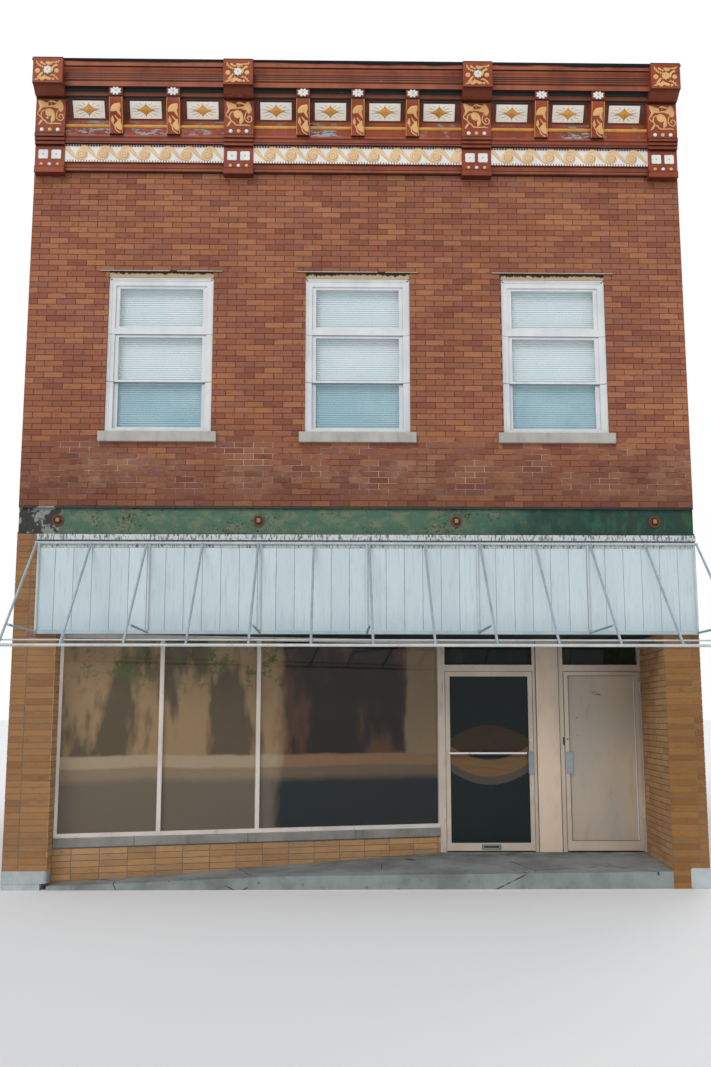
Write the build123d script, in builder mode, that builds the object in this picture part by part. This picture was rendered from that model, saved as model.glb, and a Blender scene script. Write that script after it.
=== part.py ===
from build123d import *
from math import copysign, cos, hypot, pi, sin
import os

# A two storey brick shop building from a row of such buildings, in millimetres.
# X runs along the street front, Y into the building, Z up from the lowest ground.
# The front wall's face is the plane Y = 0, and X = 0 is the middle of the front.

# Whole building
building_width = 7620
building_depth = 12190
wall = 305
coping_height = 70
coping_overhang = 30
seat = 0.3

# Storeys
beam_bottom = 3854
beam_height = 319
beam_flange = 22
beam_recess = 30
beam_face = 5
beam_depth = 295
upper_floor_thickness = 250
roof_drop = 520
roof_fall = 250
roof_thickness = 220
parapet_height = 250

# Upper windows
window_spacing = 2280
window_width = 1210
window_rise = 857
window_height = 1849
wall_over_windows = 1235
window_sill_height = 116
window_sill_overhang = 65
window_sill_projection = 50
window_recess = 35
window_frame_depth = 110
window_side_face = 78
window_head_face = 90
window_foot_face = 48
transom_bar_bottom = 1170
transom_bar_height = 68
meeting_rail_bottom = 600
meeting_rail_overlap = 34
sash_stile = 46
sash_rail = 30
sash_depth = 32
sash_setback = 18
track_gap = 2
pane = 6
blind_gap = 5
blind_thickness = 12
lintel_height = 80
lintel_flange = 12
lintel_overhang = 105
lintel_projection = 14
lintel_setback = 10
lintel_depth = 100
rear_window_rise = 925
rear_door_width = 1067

# Shopfront
left_pier_width = 480
right_pier_width = 400
entry_pier_width = 300
pier_return = 360
right_pier_bend_depth = 550
right_pier_bend = 35
pier_base_height = 200
pier_base_step = 70
pier_base_projection = 12
pier_base_short = 70
pier_base_depth = 150
pier_base_corner = 45
right_base_width = 210
right_base_height = 215
right_base_depth = 60
soffit_thickness = 30
glazing_start_inset = 75
glazing_end_inset = 50
frame_depth = 100
frame_face = 48
mullion_shares = (0.25, 0.5)
bulkhead_top = 413
bulkhead_front = 60
bulkhead_thickness = 115
sill_height = 100
sill_projection = 16

# Entry slab levels at the street and at the doors
slab_left_level = 40
slab_bend_level = 140
slab_bend_run = 2500
slab_right_level = 180
door_level = 225

# Doors
door_line = 1400
door_frame_depth = 114
door_height = 2134
door_thickness = 45
door_clearance = 5
threshold_gap = 15
shop_door_width = 1067
side_door_width = 914
shop_jamb = 75
strike_jamb = 38
post_width = 280
post_projection = 20
side_jamb = 58
transom_bar = 80
transom_light = 253
door_stop = 12
stop_depth = 20
stile = 54
top_rail = 57
bottom_rail = 92
side_panel_margin = 47
side_panel_hinge_margin = 77
side_panel_recess = 6
hinge_radius = 6.5
hinge_offset = 8
hinge_length = 110
hinge_inset = 210
hinge_plate = 2.5
hinge_plate_width = 24
push_bar_rise = 1152
push_bar_radius = 11
push_bar_standoff = 38
pull_rise = 905
pull_length = 265
pull_width = 66
pull_standoff = 26
pull_plate = 3
pull_foot = 12
mail_slot_width = 220
mail_slot_height = 50
mail_slot_plate = 4

# Sign band and awning frame
band_left_inset = 250
band_right_inset = 26
band_gap = 19
band_projection = 80
band_trim_drop = 29
band_trim_height = 33
band_trim_projection = 94
band_cap_height = 68
band_cap_projection = 114
rafter_count = 13
awning_left_inset = 245
awning_right_inset = 15
first_rafter_bay = 604.5
last_rafter_bay = 580.5
awning_top_drop = 27
awning_fall = 1210
awning_front_reach = 1370
pipe_radius = 13
pipe_sides = 12
rail_radius = 15
inner_rail_radius = 8
inner_rail_share = 0.94
post_rise = 16
brace_share = 0.82

# Cornice: height of each part from the foot up
lip_rise = 52
base_height = 116
base_edge = 30
frieze_height = 196
architrave_height = 126
architrave_step = 45
flat_band_height = 91
rod_height = 40
panel_band_height = 320
panel_foot_rise = 85
panel_head_drop = 30
bed_height = 45
cove_height = 35
corona_height = 80
corona_fillet_height = 45
crown_fillet_height = 29
crown_cyma_height = 65
crown_edge_height = 66

# Cornice: how far each part stands out from the wall
crown_reach = 300
crown_edge_reach = 290
cyma_reach = 250
corona_reach = 240
cove_start_reach = 200
bed_reach = 165
panel_head_reach = 145
panel_reach = 25
panel_recess = 20
rod_reach = 100
band_reach = 80
architrave_reach = 120
frieze_reach = 50
base_reach = 90
roof_edge_thickness = 25
roof_edge_overhang = 8

# Running scrolls of the frieze
scroll_pitch = 245
scroll_start_share = 0.85
scroll_radius = 63
scroll_foot = 6
scroll_sides = 16
scroll_relief = 12
ribbon_crest = 20
ribbon_lift = 17
ribbon_half_height = 71
ribbon_half_width = 20
ribbon_rise_run = 78
ribbon_fall_run = 200
ribbon_steps = 4

# Cornice plates and brackets
plate_width = 372
plate_height = 195
plate_gap = 57
plate_end_gap = 75
panel_side_margin = 59
panel_edge_margin = 20
star_width = 228
star_height = 112
star_power = 0.75
star_sides = 24
star_relief = 8
small_bracket_width = 155
small_bracket_block = 100
small_bracket_reach = 215
small_bracket_foot_reach = 115
big_bracket_width = 345
outer_bracket_inset = 198
inner_bracket_x = 1402
big_lip_height = 75
big_lip_reach = 120
big_foot_height = 271
big_foot_reach = 100
big_mould_height = 124
big_mould_reach = 165
big_mould_steps = 3
big_mould_step = 17
big_face_reach = 148
big_cyma_height = 71
big_cyma_reach = 166
big_block_height = 319
big_block_reach = 360

# Steel beam rosettes
outer_rosette_inset = 440
inner_rosette_x = 1117
rosette_radius = 66
rosette_rim = 14
rosette_dish_radius = 50
rosette_dish_depth = 7
rosette_nut = 54
rosette_nut_turn = 12
rosette_height = 27

# Plan places worked out from the sizes above
half_width = building_width / 2
inner_half = half_width - wall
rear_inner = building_depth - wall
left_pier_x = -half_width + left_pier_width
right_pier_x = half_width - right_pier_width
right_pier_bend_x = right_pier_x + right_pier_bend
window_xs = (-window_spacing, 0, window_spacing)
side_frame_right = half_width - entry_pier_width
side_hinge_x = side_frame_right - strike_jamb - door_clearance
side_leaf_left = side_hinge_x - side_door_width
post_right = side_leaf_left - door_clearance - side_jamb
shop_frame_right = post_right - post_width
shop_leaf_right = shop_frame_right - strike_jamb - door_clearance
shop_hinge_x = shop_leaf_right - shop_door_width
glazing_end_x = shop_hinge_x - door_clearance - shop_jamb
leaf_front = door_line + door_clearance
leaf_back = leaf_front + door_thickness
door_back = door_line + door_frame_depth
pane_depth = door_line + door_frame_depth / 2
glazing_start_depth = pier_return - glazing_start_inset
glazing_run = glazing_end_x - left_pier_x
glazing_rise = door_line + glazing_end_inset - glazing_start_depth
glazing_length = hypot(glazing_run, glazing_rise)
glazing_slope = glazing_rise / glazing_run
glazing_plane = Plane(
    origin=(left_pier_x, glazing_start_depth, 0),
    x_dir=(glazing_run, glazing_rise, 0),
    z_dir=(0, 0, 1),
)
band_left = -half_width + band_left_inset
band_right = half_width - band_right_inset
awning_left = -half_width + awning_left_inset
awning_right = half_width - awning_right_inset
rail_axis_reach = band_projection + rail_radius + seat
post_axis_reach = band_projection + pipe_radius + seat
outer_bracket_x = half_width - outer_bracket_inset
big_bracket_xs = (-outer_bracket_x, -inner_bracket_x, inner_bracket_x, outer_bracket_x)
bays = [
    (left + big_bracket_width / 2, right - big_bracket_width / 2)
    for left, right in zip(big_bracket_xs[:-1], big_bracket_xs[1:])
]

# Levels worked out from the sizes above, from the ground up
shopfront_sill_top = bulkhead_top + sill_height
leaf_bottom = door_level + threshold_gap
leaf_top = leaf_bottom + door_height
transom_bottom = leaf_top + door_clearance
transom_top = transom_bottom + transom_bar
transom_head = transom_top + transom_light
soffit_level = transom_head + frame_face
band_bottom = soffit_level - band_trim_drop + band_trim_height
band_top = beam_bottom - band_gap - band_cap_height
awning_top = band_top - awning_top_drop
awning_front_level = awning_top - awning_fall
post_foot = band_bottom + post_rise
brace_level = band_bottom - band_trim_height / 2
beam_top = beam_bottom + beam_height
rear_window_bottom = door_level + rear_window_rise
window_bottom = beam_top + window_rise
window_top = window_bottom + window_height
cornice_foot = window_top + wall_over_windows
base_bottom = cornice_foot + lip_rise
frieze_bottom = base_bottom + base_height
frieze_top = frieze_bottom + frieze_height
cornice_band_bottom = frieze_top + architrave_height
rod_bottom = cornice_band_bottom + flat_band_height
rod_top = rod_bottom + rod_height
panel_top = rod_top + panel_band_height
lean_bottom = rod_top + panel_foot_rise
lean_top = panel_top - panel_head_drop
bed_top = panel_top + bed_height
corona_bottom = bed_top + cove_height
corona_fillet = corona_bottom + corona_height
corona_top = corona_fillet + corona_fillet_height
cyma_bottom = corona_top + crown_fillet_height
crown_edge = cyma_bottom + crown_cyma_height
crown_top = crown_edge + crown_edge_height
big_foot_bottom = cornice_foot + big_lip_height
big_mould_bottom = big_foot_bottom + big_foot_height
big_face_bottom = big_mould_bottom + big_mould_height
big_block_bottom = crown_top - big_block_height
big_face_top = big_block_bottom - big_cyma_height
roof_front_level = crown_top - roof_drop
party_wall_top = roof_front_level + parapet_height


def spread(middle, pitch, count):
    """Places of a row of like pieces about its middle."""
    return [middle + (i - (count - 1) / 2) * pitch for i in range(count)]


# Plates stand evenly in each bay, with a small bracket between each two
plate_xs = []
small_bracket_xs = []
for bay_left, bay_right in bays:
    bay_middle = (bay_left + bay_right) / 2
    plate_run = bay_right - bay_left - plate_width - 2 * plate_end_gap
    gap_count = int(plate_run / (plate_width + small_bracket_width + 2 * plate_gap))
    plate_pitch = plate_run / gap_count
    plate_xs += spread(bay_middle, plate_pitch, gap_count + 1)
    small_bracket_xs += spread(bay_middle, plate_pitch, gap_count)

os.makedirs("parts", exist_ok=True)


def save(builder, name):
    """Label a finished piece and write it under its own name."""
    builder.part.label = name
    export_step(builder.part, f"parts/{name}.step")


def block(x0, x1, y0, y1, z0, z1, mode=Mode.ADD):
    """A box between two opposite corners."""
    with Locations(((x0 + x1) / 2, (y0 + y1) / 2, (z0 + z1) / 2)):
        Box(x1 - x0, y1 - y0, z1 - z0, mode=mode)


def cut(x0, x1, y0, y1, z0, z1):
    """A box between two opposite corners, taken away."""
    block(x0, x1, y0, y1, z0, z1, mode=Mode.SUBTRACT)


def plan_prism(points, z0, z1, mode=Mode.ADD):
    """A closed plan outline raised from z0 to z1."""
    with BuildSketch(Plane.XY.offset(z0)) as outline:
        with BuildLine():
            Polyline(*points, close=True)
        make_face()
    extrude(outline.sketch, amount=z1 - z0, mode=mode)


def side_plane(x):
    """A plane across the building at x, with sketch X inwards and sketch Y upwards."""
    return Plane(origin=(x, 0, 0), x_dir=(0, 1, 0), z_dir=(1, 0, 0))


def side_prism(points, x0, x1):
    """A closed outline of (depth, level) points drawn along X."""
    with BuildSketch(side_plane(x0)) as outline:
        with BuildLine():
            Polyline(*points, close=True)
        make_face()
    extrude(outline.sketch, amount=x1 - x0)


def pipe(start, end, radius):
    """A round bar between two points, with few sides to keep the model light."""
    run = Vector(*end) - Vector(*start)
    with BuildSketch(Plane(origin=start, z_dir=run)) as section:
        RegularPolygon(radius, pipe_sides)
    extrude(section.sketch, amount=run.length)


def s_curve(start, end, direction):
    """Two arcs that meet halfway, level or upright at both ends as the direction says."""
    middle = ((start[0] + end[0]) / 2, (start[1] + end[1]) / 2)
    TangentArc(start, middle, tangent=direction)
    TangentArc(end, middle, tangent=(-direction[0], -direction[1]))


# Walls, floors and roof


def window_openings(xs, bottom, face, inward):
    """Cut a window row, with seats for its sills and lintels, through a wall."""
    for x in xs:
        x0 = x - window_width / 2
        x1 = x + window_width / 2
        top = bottom + window_height
        y0, y1 = sorted((face - inward * wall, face + inward * 2 * wall))
        cut(x0, x1, y0, y1, bottom, top)
        flange_bottom = top + lintel_height - lintel_flange
        y0, y1 = sorted((face - inward * wall, face + inward * lintel_depth))
        cut(x0, x1, y0, y1, top, flange_bottom)
        cut(x0 - lintel_overhang, x1 + lintel_overhang, y0, y1, flange_bottom, top + lintel_height)
        y0, y1 = sorted((face - inward * wall, face + inward * (window_recess + window_frame_depth)))
        cut(x0 - window_sill_overhang, x1 + window_sill_overhang, y0, y1,
            bottom - window_sill_height, bottom)


with BuildPart() as front_wall:
    block(-half_width, half_width, 0, wall, beam_top, crown_top)
    window_openings(window_xs, window_bottom, 0, 1)
save(front_wall, "front_wall")

with BuildPart() as left_party_wall:
    block(-half_width, -inner_half, pier_return, rear_inner, 0, beam_bottom)
    block(-half_width, -inner_half, wall, rear_inner, beam_bottom, party_wall_top)
save(left_party_wall, "left_party_wall")

with BuildPart() as right_party_wall:
    block(inner_half, half_width, door_back, rear_inner, 0, beam_bottom)
    block(inner_half, half_width, wall, rear_inner, beam_bottom, party_wall_top)
save(right_party_wall, "right_party_wall")

with BuildPart() as rear_wall_upper:
    block(-half_width, half_width, rear_inner, building_depth, beam_top, party_wall_top)
    window_openings(window_xs, window_bottom, building_depth, -1)
save(rear_wall_upper, "rear_wall_upper")

lower_rear_xs = (-window_spacing, window_spacing)
with BuildPart() as rear_wall_lower:
    block(-half_width, half_width, rear_inner, building_depth, 0, beam_top)
    window_openings(lower_rear_xs, rear_window_bottom, building_depth, -1)
    cut(-rear_door_width / 2 - side_jamb, rear_door_width / 2 + side_jamb,
        rear_inner - wall, building_depth + wall, door_level, transom_top)
save(rear_wall_lower, "rear_wall_lower")


def bulkhead_back(x):
    """Depth of the bulkhead's inner face at x."""
    inner = bulkhead_thickness - bulkhead_front
    return glazing_start_depth + (x - left_pier_x) * glazing_slope + inner * glazing_length / glazing_run


floor_outline = [
    (-inner_half, pier_return),
    (left_pier_x, pier_return),
    (left_pier_x, bulkhead_back(left_pier_x)),
    (glazing_end_x, bulkhead_back(glazing_end_x)),
    (glazing_end_x, door_line),
    (side_frame_right, door_line),
    (side_frame_right, door_back),
    (inner_half, door_back),
    (inner_half, rear_inner),
    (-inner_half, rear_inner),
]
with BuildPart() as ground_floor:
    plan_prism(floor_outline, 0, door_level)
save(ground_floor, "ground_floor")

with BuildPart() as upper_floor:
    block(-inner_half, inner_half, wall, rear_inner, beam_top - upper_floor_thickness, beam_top)
save(upper_floor, "upper_floor")

roof_rear_level = roof_front_level - roof_fall
with BuildPart() as roof_deck:
    side_prism([
        (wall, roof_front_level - roof_thickness),
        (rear_inner, roof_rear_level - roof_thickness),
        (rear_inner, roof_rear_level),
        (wall, roof_front_level),
    ], -inner_half, inner_half)
save(roof_deck, "roof_deck")

with BuildPart() as parapet_coping:
    coping_top = party_wall_top + coping_height
    inner = inner_half - coping_overhang
    block(-half_width, -inner, wall, building_depth, party_wall_top, coping_top)
    block(inner, half_width, wall, building_depth, party_wall_top, coping_top)
    block(-inner, inner, rear_inner - coping_overhang, building_depth, party_wall_top, coping_top)
save(parapet_coping, "parapet_coping")

with BuildPart() as roof_edge:
    block(-half_width, half_width, -crown_reach - roof_edge_overhang, wall,
          crown_top, crown_top + roof_edge_thickness)
save(roof_edge, "roof_edge")

# Steel beam over the shopfront, with its bolt rosettes
with BuildPart() as steel_beam:
    block(-half_width, half_width, beam_face, beam_face + beam_depth, beam_bottom, beam_top)
    for y0 in (beam_face - beam_recess, beam_face + beam_depth - beam_recess):
        cut(-half_width, half_width, y0, y0 + 2 * beam_recess,
            beam_bottom + beam_flange, beam_top - beam_flange)
save(steel_beam, "steel_beam")

outer_rosette_x = half_width - outer_rosette_inset
with BuildPart() as beam_rosettes:
    for x in (-outer_rosette_x, -inner_rosette_x, inner_rosette_x, outer_rosette_x):
        centre = (x, beam_face + beam_recess, (beam_bottom + beam_top) / 2)
        plane = Plane(origin=centre, x_dir=(1, 0, 0), z_dir=(0, -1, 0))
        with BuildSketch(plane) as washer:
            Circle(rosette_radius)
        extrude(washer.sketch, amount=rosette_rim)
        with BuildSketch(plane.offset(rosette_rim)) as dish:
            Circle(rosette_dish_radius)
        extrude(dish.sketch, amount=-rosette_dish_depth, mode=Mode.SUBTRACT)
        with BuildSketch(plane) as nut:
            Rectangle(rosette_nut, rosette_nut, rotation=rosette_nut_turn)
        extrude(nut.sketch, amount=rosette_height)
save(beam_rosettes, "beam_rosettes")

# Brick piers at the street, with their stone feet
with BuildPart() as left_pier:
    block(-half_width, left_pier_x, 0, pier_return, pier_base_height, beam_bottom)
    block(-half_width, left_pier_x, pier_base_depth, pier_return, 0, pier_base_height)
save(left_pier, "left_pier")

with BuildPart() as left_pier_base:
    block(-half_width, left_pier_x, -pier_base_projection, pier_base_depth,
          pier_base_step, pier_base_height)
    upright = left_pier_base.edges().filter_by(Axis.Z).group_by(Axis.X)[-1]
    fillet(upright.sort_by(Axis.Y)[0], pier_base_corner)
    block(-half_width, left_pier_x - pier_base_short, -pier_base_projection / 2, pier_base_depth,
          0, pier_base_step)
save(left_pier_base, "left_pier_base")

right_pier_outline = [
    (right_pier_x, 0),
    (half_width, 0),
    (half_width, door_back),
    (side_frame_right, door_back),
    (side_frame_right, door_line),
    (right_pier_bend_x, right_pier_bend_depth),
]
with BuildPart() as right_pier:
    plan_prism(right_pier_outline, 0, beam_bottom)
    cut(half_width - right_base_width, half_width, 0, right_base_depth, 0, right_base_height)
    cut(inner_half, half_width, wall, door_back, beam_bottom, beam_top)
save(right_pier, "right_pier")

with BuildPart() as right_pier_base:
    block(half_width - right_base_width, half_width, -pier_base_projection / 2, right_base_depth,
          0, right_base_height)
save(right_pier_base, "right_pier_base")

# The slanted shopfront, drawn along its own line and trimmed between pier and door


def glazing_block(u0, u1, v0, v1, z0, z1, mode=Mode.ADD):
    """A box set along the slanted glazing line: u runs along it and v inwards."""
    with BuildSketch(glazing_plane.offset(z0)) as outline:
        with Locations(((u0 + u1) / 2, (v0 + v1) / 2)):
            Rectangle(u1 - u0, v1 - v0)
    extrude(outline.sketch, amount=z1 - z0, mode=mode)


def trim_to_bay():
    """Cut the slanted work off square at the pier's side and at the door frame."""
    split(bisect_by=Plane(origin=(left_pier_x, 0, 0), z_dir=(1, 0, 0)), keep=Keep.TOP)
    split(bisect_by=Plane(origin=(glazing_end_x, 0, 0), z_dir=(-1, 0, 0)), keep=Keep.TOP)


with BuildPart() as bulkhead:
    glazing_block(-wall, glazing_length + wall, -bulkhead_front,
                  bulkhead_thickness - bulkhead_front, 0, bulkhead_top)
    trim_to_bay()
save(bulkhead, "bulkhead")

with BuildPart() as shopfront_sill:
    glazing_block(-wall, glazing_length + wall, -bulkhead_front - sill_projection,
                  bulkhead_thickness - bulkhead_front, bulkhead_top, shopfront_sill_top)
    trim_to_bay()
save(shopfront_sill, "shopfront_sill")

mullions = [share * glazing_length for share in mullion_shares]
pane_edges = [0] + mullions + [glazing_length]
with BuildPart() as shopfront_frame:
    glazing_block(-wall, glazing_length + wall, -frame_depth / 2, frame_depth / 2,
                  shopfront_sill_top, soffit_level)
    for left, right in zip(pane_edges[:-1], pane_edges[1:]):
        glazing_block(left + frame_face / 2, right - frame_face / 2, -frame_depth, frame_depth,
                      shopfront_sill_top + frame_face, soffit_level - frame_face,
                      mode=Mode.SUBTRACT)
    trim_to_bay()
save(shopfront_frame, "shopfront_frame")

with BuildPart() as shopfront_glass:
    for left, right in zip(pane_edges[:-1], pane_edges[1:]):
        glazing_block(left + frame_face / 2, right - frame_face / 2, -pane / 2, pane / 2,
                      shopfront_sill_top + frame_face, soffit_level - frame_face)
save(shopfront_glass, "shopfront_glass")


def bulkhead_face(x):
    """Depth of the bulkhead's street face at x."""
    return (glazing_start_depth + (x - left_pier_x) * glazing_slope
            - bulkhead_front * glazing_length / glazing_run)


slab_outline = [
    (left_pier_x, 0),
    (right_pier_x, 0),
    (right_pier_bend_x, right_pier_bend_depth),
    (side_frame_right, door_line),
    (glazing_end_x, door_line),
    (glazing_end_x, bulkhead_face(glazing_end_x)),
    (left_pier_x, bulkhead_face(left_pier_x)),
]


def plane_through(first, second, third):
    """The plane through three points."""
    origin = Vector(*first)
    along = Vector(*second) - origin
    return Plane(origin=origin, x_dir=along, z_dir=along.cross(Vector(*third) - origin))


street_left = (left_pier_x, 0, slab_left_level)
street_bend = (left_pier_x + slab_bend_run, 0, slab_bend_level)
street_right = (side_frame_right, 0, slab_right_level)
doors_left = (glazing_end_x, door_line, door_level)
doors_right = (side_frame_right, door_line, door_level)
with BuildPart() as entry_slab:
    plan_prism(slab_outline, 0, door_level)
    for corners in (
        (street_left, street_bend, doors_left),
        (street_bend, street_right, doors_left),
        (street_right, doors_right, doors_left),
    ):
        split(bisect_by=plane_through(*corners), keep=Keep.BOTTOM)
save(entry_slab, "entry_slab")

with BuildPart() as entry_soffit:
    plan_prism([
        (left_pier_x, 0),
        (right_pier_x, 0),
        (right_pier_bend_x, right_pier_bend_depth),
        (side_frame_right, door_line),
        (side_frame_right, door_back),
        (glazing_end_x, door_back),
        (left_pier_x, pier_return),
    ], soffit_level, soffit_level + soffit_thickness)
save(entry_soffit, "entry_soffit")

# Doors in their frames
knuckle_third = hinge_length / 3


def door_frame(x0, x1, left_jamb, right_jamb, hinge_x, hinge_side):
    """Jambs, transom bar, head, stops and the fixed knuckles of the hinges."""
    block(x0, x1, door_line, door_back, door_level, soffit_level)
    inner_left = x0 + left_jamb
    inner_right = x1 - right_jamb
    cut(inner_left, inner_right, door_line - wall, door_back + wall, door_level, transom_bottom)
    cut(inner_left, inner_right, door_line - wall, door_back + wall, transom_top, transom_head)
    stop_front = leaf_back + door_clearance
    block(inner_left, inner_left + door_stop, stop_front, stop_front + stop_depth,
          door_level, transom_bottom)
    block(inner_right - door_stop, inner_right, stop_front, stop_front + stop_depth,
          door_level, transom_bottom)
    block(inner_left, inner_right, stop_front, stop_front + stop_depth,
          transom_bottom - door_stop, transom_bottom)
    for level in hinge_levels():
        hinge_part(hinge_x, -hinge_side, level - hinge_length / 2, knuckle_third - seat, door_line)
        hinge_part(hinge_x, -hinge_side, level + knuckle_third / 2 + seat, knuckle_third - seat,
                   door_line)


def hinge_levels():
    """The middle of each of a door's three hinges."""
    return (leaf_bottom + hinge_inset, (leaf_bottom + leaf_top) / 2, leaf_top - hinge_inset)


def hinge_part(axis_x, side, level, length, face):
    """One knuckle and its plate, which lies against a face on one side of the pin."""
    axis_y = door_line - hinge_offset
    pipe((axis_x, axis_y, level), (axis_x, axis_y, level + length), hinge_radius)
    x0, x1 = sorted((axis_x + side * door_clearance / 2, axis_x + side * hinge_plate_width))
    block(x0, x1, face - hinge_plate, face, level, level + length)
    x0, x1 = sorted((axis_x + side * hinge_plate / 2, axis_x + side * (hinge_radius + hinge_plate)))
    block(x0, x1, axis_y, face, level, level + length)


def door_leaf_hinges(hinge_x, side):
    """The moving knuckles, each between two fixed ones."""
    for level in hinge_levels():
        hinge_part(hinge_x, side, level - knuckle_third / 2 + seat, knuckle_third - 2 * seat,
                   leaf_front)


shop_pin_x = shop_hinge_x - door_clearance / 2
side_pin_x = side_hinge_x + door_clearance / 2

with BuildPart() as shop_door_frame:
    door_frame(glazing_end_x, shop_frame_right, shop_jamb, strike_jamb, shop_pin_x, 1)
save(shop_door_frame, "shop_door_frame")

with BuildPart() as side_door_frame:
    door_frame(post_right, side_frame_right, side_jamb, strike_jamb, side_pin_x, -1)
save(side_door_frame, "side_door_frame")

with BuildPart() as door_post:
    block(shop_frame_right, post_right, door_line - post_projection, door_back,
          door_level, soffit_level)
save(door_post, "door_post")

with BuildPart() as shop_transom_glass:
    block(glazing_end_x + shop_jamb, shop_frame_right - strike_jamb,
          pane_depth - pane / 2, pane_depth + pane / 2, transom_top, transom_head)
save(shop_transom_glass, "shop_transom_glass")

with BuildPart() as side_transom_glass:
    block(post_right + side_jamb, side_frame_right - strike_jamb,
          pane_depth - pane / 2, pane_depth + pane / 2, transom_top, transom_head)
save(side_transom_glass, "side_transom_glass")

with BuildPart() as shop_door:
    block(shop_hinge_x, shop_leaf_right, leaf_front, leaf_back, leaf_bottom, leaf_top)
    cut(shop_hinge_x + stile, shop_leaf_right - stile, leaf_front - wall, leaf_back + wall,
        leaf_bottom + bottom_rail, leaf_top - top_rail)
    door_leaf_hinges(shop_pin_x, 1)
save(shop_door, "shop_door")

leaf_middle = (leaf_front + leaf_back) / 2
with BuildPart() as shop_door_glass:
    block(shop_hinge_x + stile, shop_leaf_right - stile, leaf_middle - pane / 2,
          leaf_middle + pane / 2, leaf_bottom + bottom_rail, leaf_top - top_rail)
save(shop_door_glass, "shop_door_glass")


def door_pull(x0):
    """A flat bent pull that stands off the leaf on a foot at each end."""
    front = leaf_front - pull_standoff
    pull_bottom = leaf_bottom + pull_rise
    block(x0, x0 + pull_width, front - pull_plate, front, pull_bottom, pull_bottom + pull_length)
    for z0 in (pull_bottom, pull_bottom + pull_length - pull_foot):
        block(x0, x0 + pull_width, front, leaf_front, z0, z0 + pull_foot)


shop_pull_x = shop_leaf_right - pull_width
with BuildPart() as shop_door_fittings:
    door_pull(shop_pull_x)
    bar_left = shop_hinge_x + stile / 2
    bar_right = shop_pull_x - 2 * push_bar_radius
    bar_y = leaf_front - push_bar_standoff
    bar_z = leaf_bottom + push_bar_rise
    pipe((bar_left, bar_y, bar_z), (bar_right, bar_y, bar_z), push_bar_radius)
    for x in (bar_left + push_bar_radius, bar_right - push_bar_radius):
        pipe((x, bar_y, bar_z), (x, leaf_front, bar_z), push_bar_radius)
    slot_x = (shop_hinge_x + shop_leaf_right) / 2
    slot_z = leaf_bottom + bottom_rail / 2
    block(slot_x - mail_slot_width / 2, slot_x + mail_slot_width / 2,
          leaf_front - mail_slot_plate, leaf_front,
          slot_z - mail_slot_height / 2, slot_z + mail_slot_height / 2)
save(shop_door_fittings, "shop_door_fittings")

with BuildPart() as side_door:
    block(side_leaf_left, side_hinge_x, leaf_front, leaf_back, leaf_bottom, leaf_top)
    cut(side_leaf_left + side_panel_margin, side_hinge_x - side_panel_hinge_margin,
        leaf_front - wall, leaf_front + side_panel_recess,
        leaf_bottom + bottom_rail, leaf_top - top_rail)
    door_leaf_hinges(side_pin_x, -1)
save(side_door, "side_door")

with BuildPart() as side_door_pull:
    door_pull(side_leaf_left + pull_foot)
save(side_door_pull, "side_door_pull")

# Sign band and its trims
with BuildPart() as sign_band:
    block(band_left, band_right, -band_projection, 0, band_bottom, band_top)
save(sign_band, "sign_band")

with BuildPart() as sign_band_trims:
    block(band_left, band_right, -band_trim_projection, 0, band_bottom - band_trim_height, band_bottom)
    block(band_left, band_right, -band_cap_projection, 0, band_top, band_top + band_cap_height)
save(sign_band_trims, "sign_band_trims")

# Bare pipe frame of the awning


def rafter_point(share, drop=0):
    """A point of the rafter line, from the top rail at 0 to the front rail at 1."""
    run_y = awning_front_reach - rail_axis_reach
    run_z = awning_top - awning_front_level
    length = hypot(run_y, run_z)
    depth = -rail_axis_reach - share * run_y
    level = awning_top - share * run_z
    return depth + drop * run_z / length, level - drop * run_y / length


inner_rafters = rafter_count - 2
inner_rafter_left = awning_left + first_rafter_bay
inner_rafter_right = awning_right - last_rafter_bay
rafter_xs = (
    [awning_left]
    + spread((inner_rafter_left + inner_rafter_right) / 2,
             (inner_rafter_right - inner_rafter_left) / (inner_rafters - 1), inner_rafters)
    + [awning_right]
)
rafter_length = hypot(awning_front_reach - rail_axis_reach, awning_top - awning_front_level)
end_share = (rail_radius + seat) / rafter_length

with BuildPart() as awning_rails:
    pipe((awning_left - pipe_radius, -rail_axis_reach, awning_top),
         (awning_right + pipe_radius, -rail_axis_reach, awning_top), rail_radius)
    pipe((awning_left - pipe_radius, -awning_front_reach, awning_front_level),
         (awning_right + pipe_radius, -awning_front_reach, awning_front_level), rail_radius)
    inner_y, inner_z = rafter_point(inner_rail_share, pipe_radius + inner_rail_radius + seat)
    pipe((awning_left - pipe_radius, inner_y, inner_z),
         (awning_right + pipe_radius, inner_y, inner_z), inner_rail_radius)
save(awning_rails, "awning_rails")

with BuildPart() as awning_rafters:
    for x in rafter_xs:
        pipe((x, *rafter_point(end_share)), (x, *rafter_point(1 - end_share)), pipe_radius)
save(awning_rafters, "awning_rafters")

beside = 2 * pipe_radius + seat
post_xs = [x + beside if x < 0 else x - beside for x in rafter_xs[::2]]
post_top = awning_top - rail_radius - seat
with BuildPart() as awning_posts:
    for x in post_xs:
        pipe((x, -post_axis_reach, post_foot), (x, -post_axis_reach, post_top), pipe_radius)
save(awning_posts, "awning_posts")

brace_end = rafter_point(brace_share)
brace_slope = (brace_level - brace_end[1]) / -brace_end[0]
brace_start_reach = band_trim_projection + pipe_radius * abs(brace_slope) + seat
with BuildPart() as awning_braces:
    for x in post_xs:
        pipe((x, -brace_start_reach, brace_level), (x, *brace_end), pipe_radius)
save(awning_braces, "awning_braces")

# Windows


def depths(face, inward, near, far):
    """Two depths measured inwards from a wall's face, in rising order."""
    return sorted((face + inward * near, face + inward * far))


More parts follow.
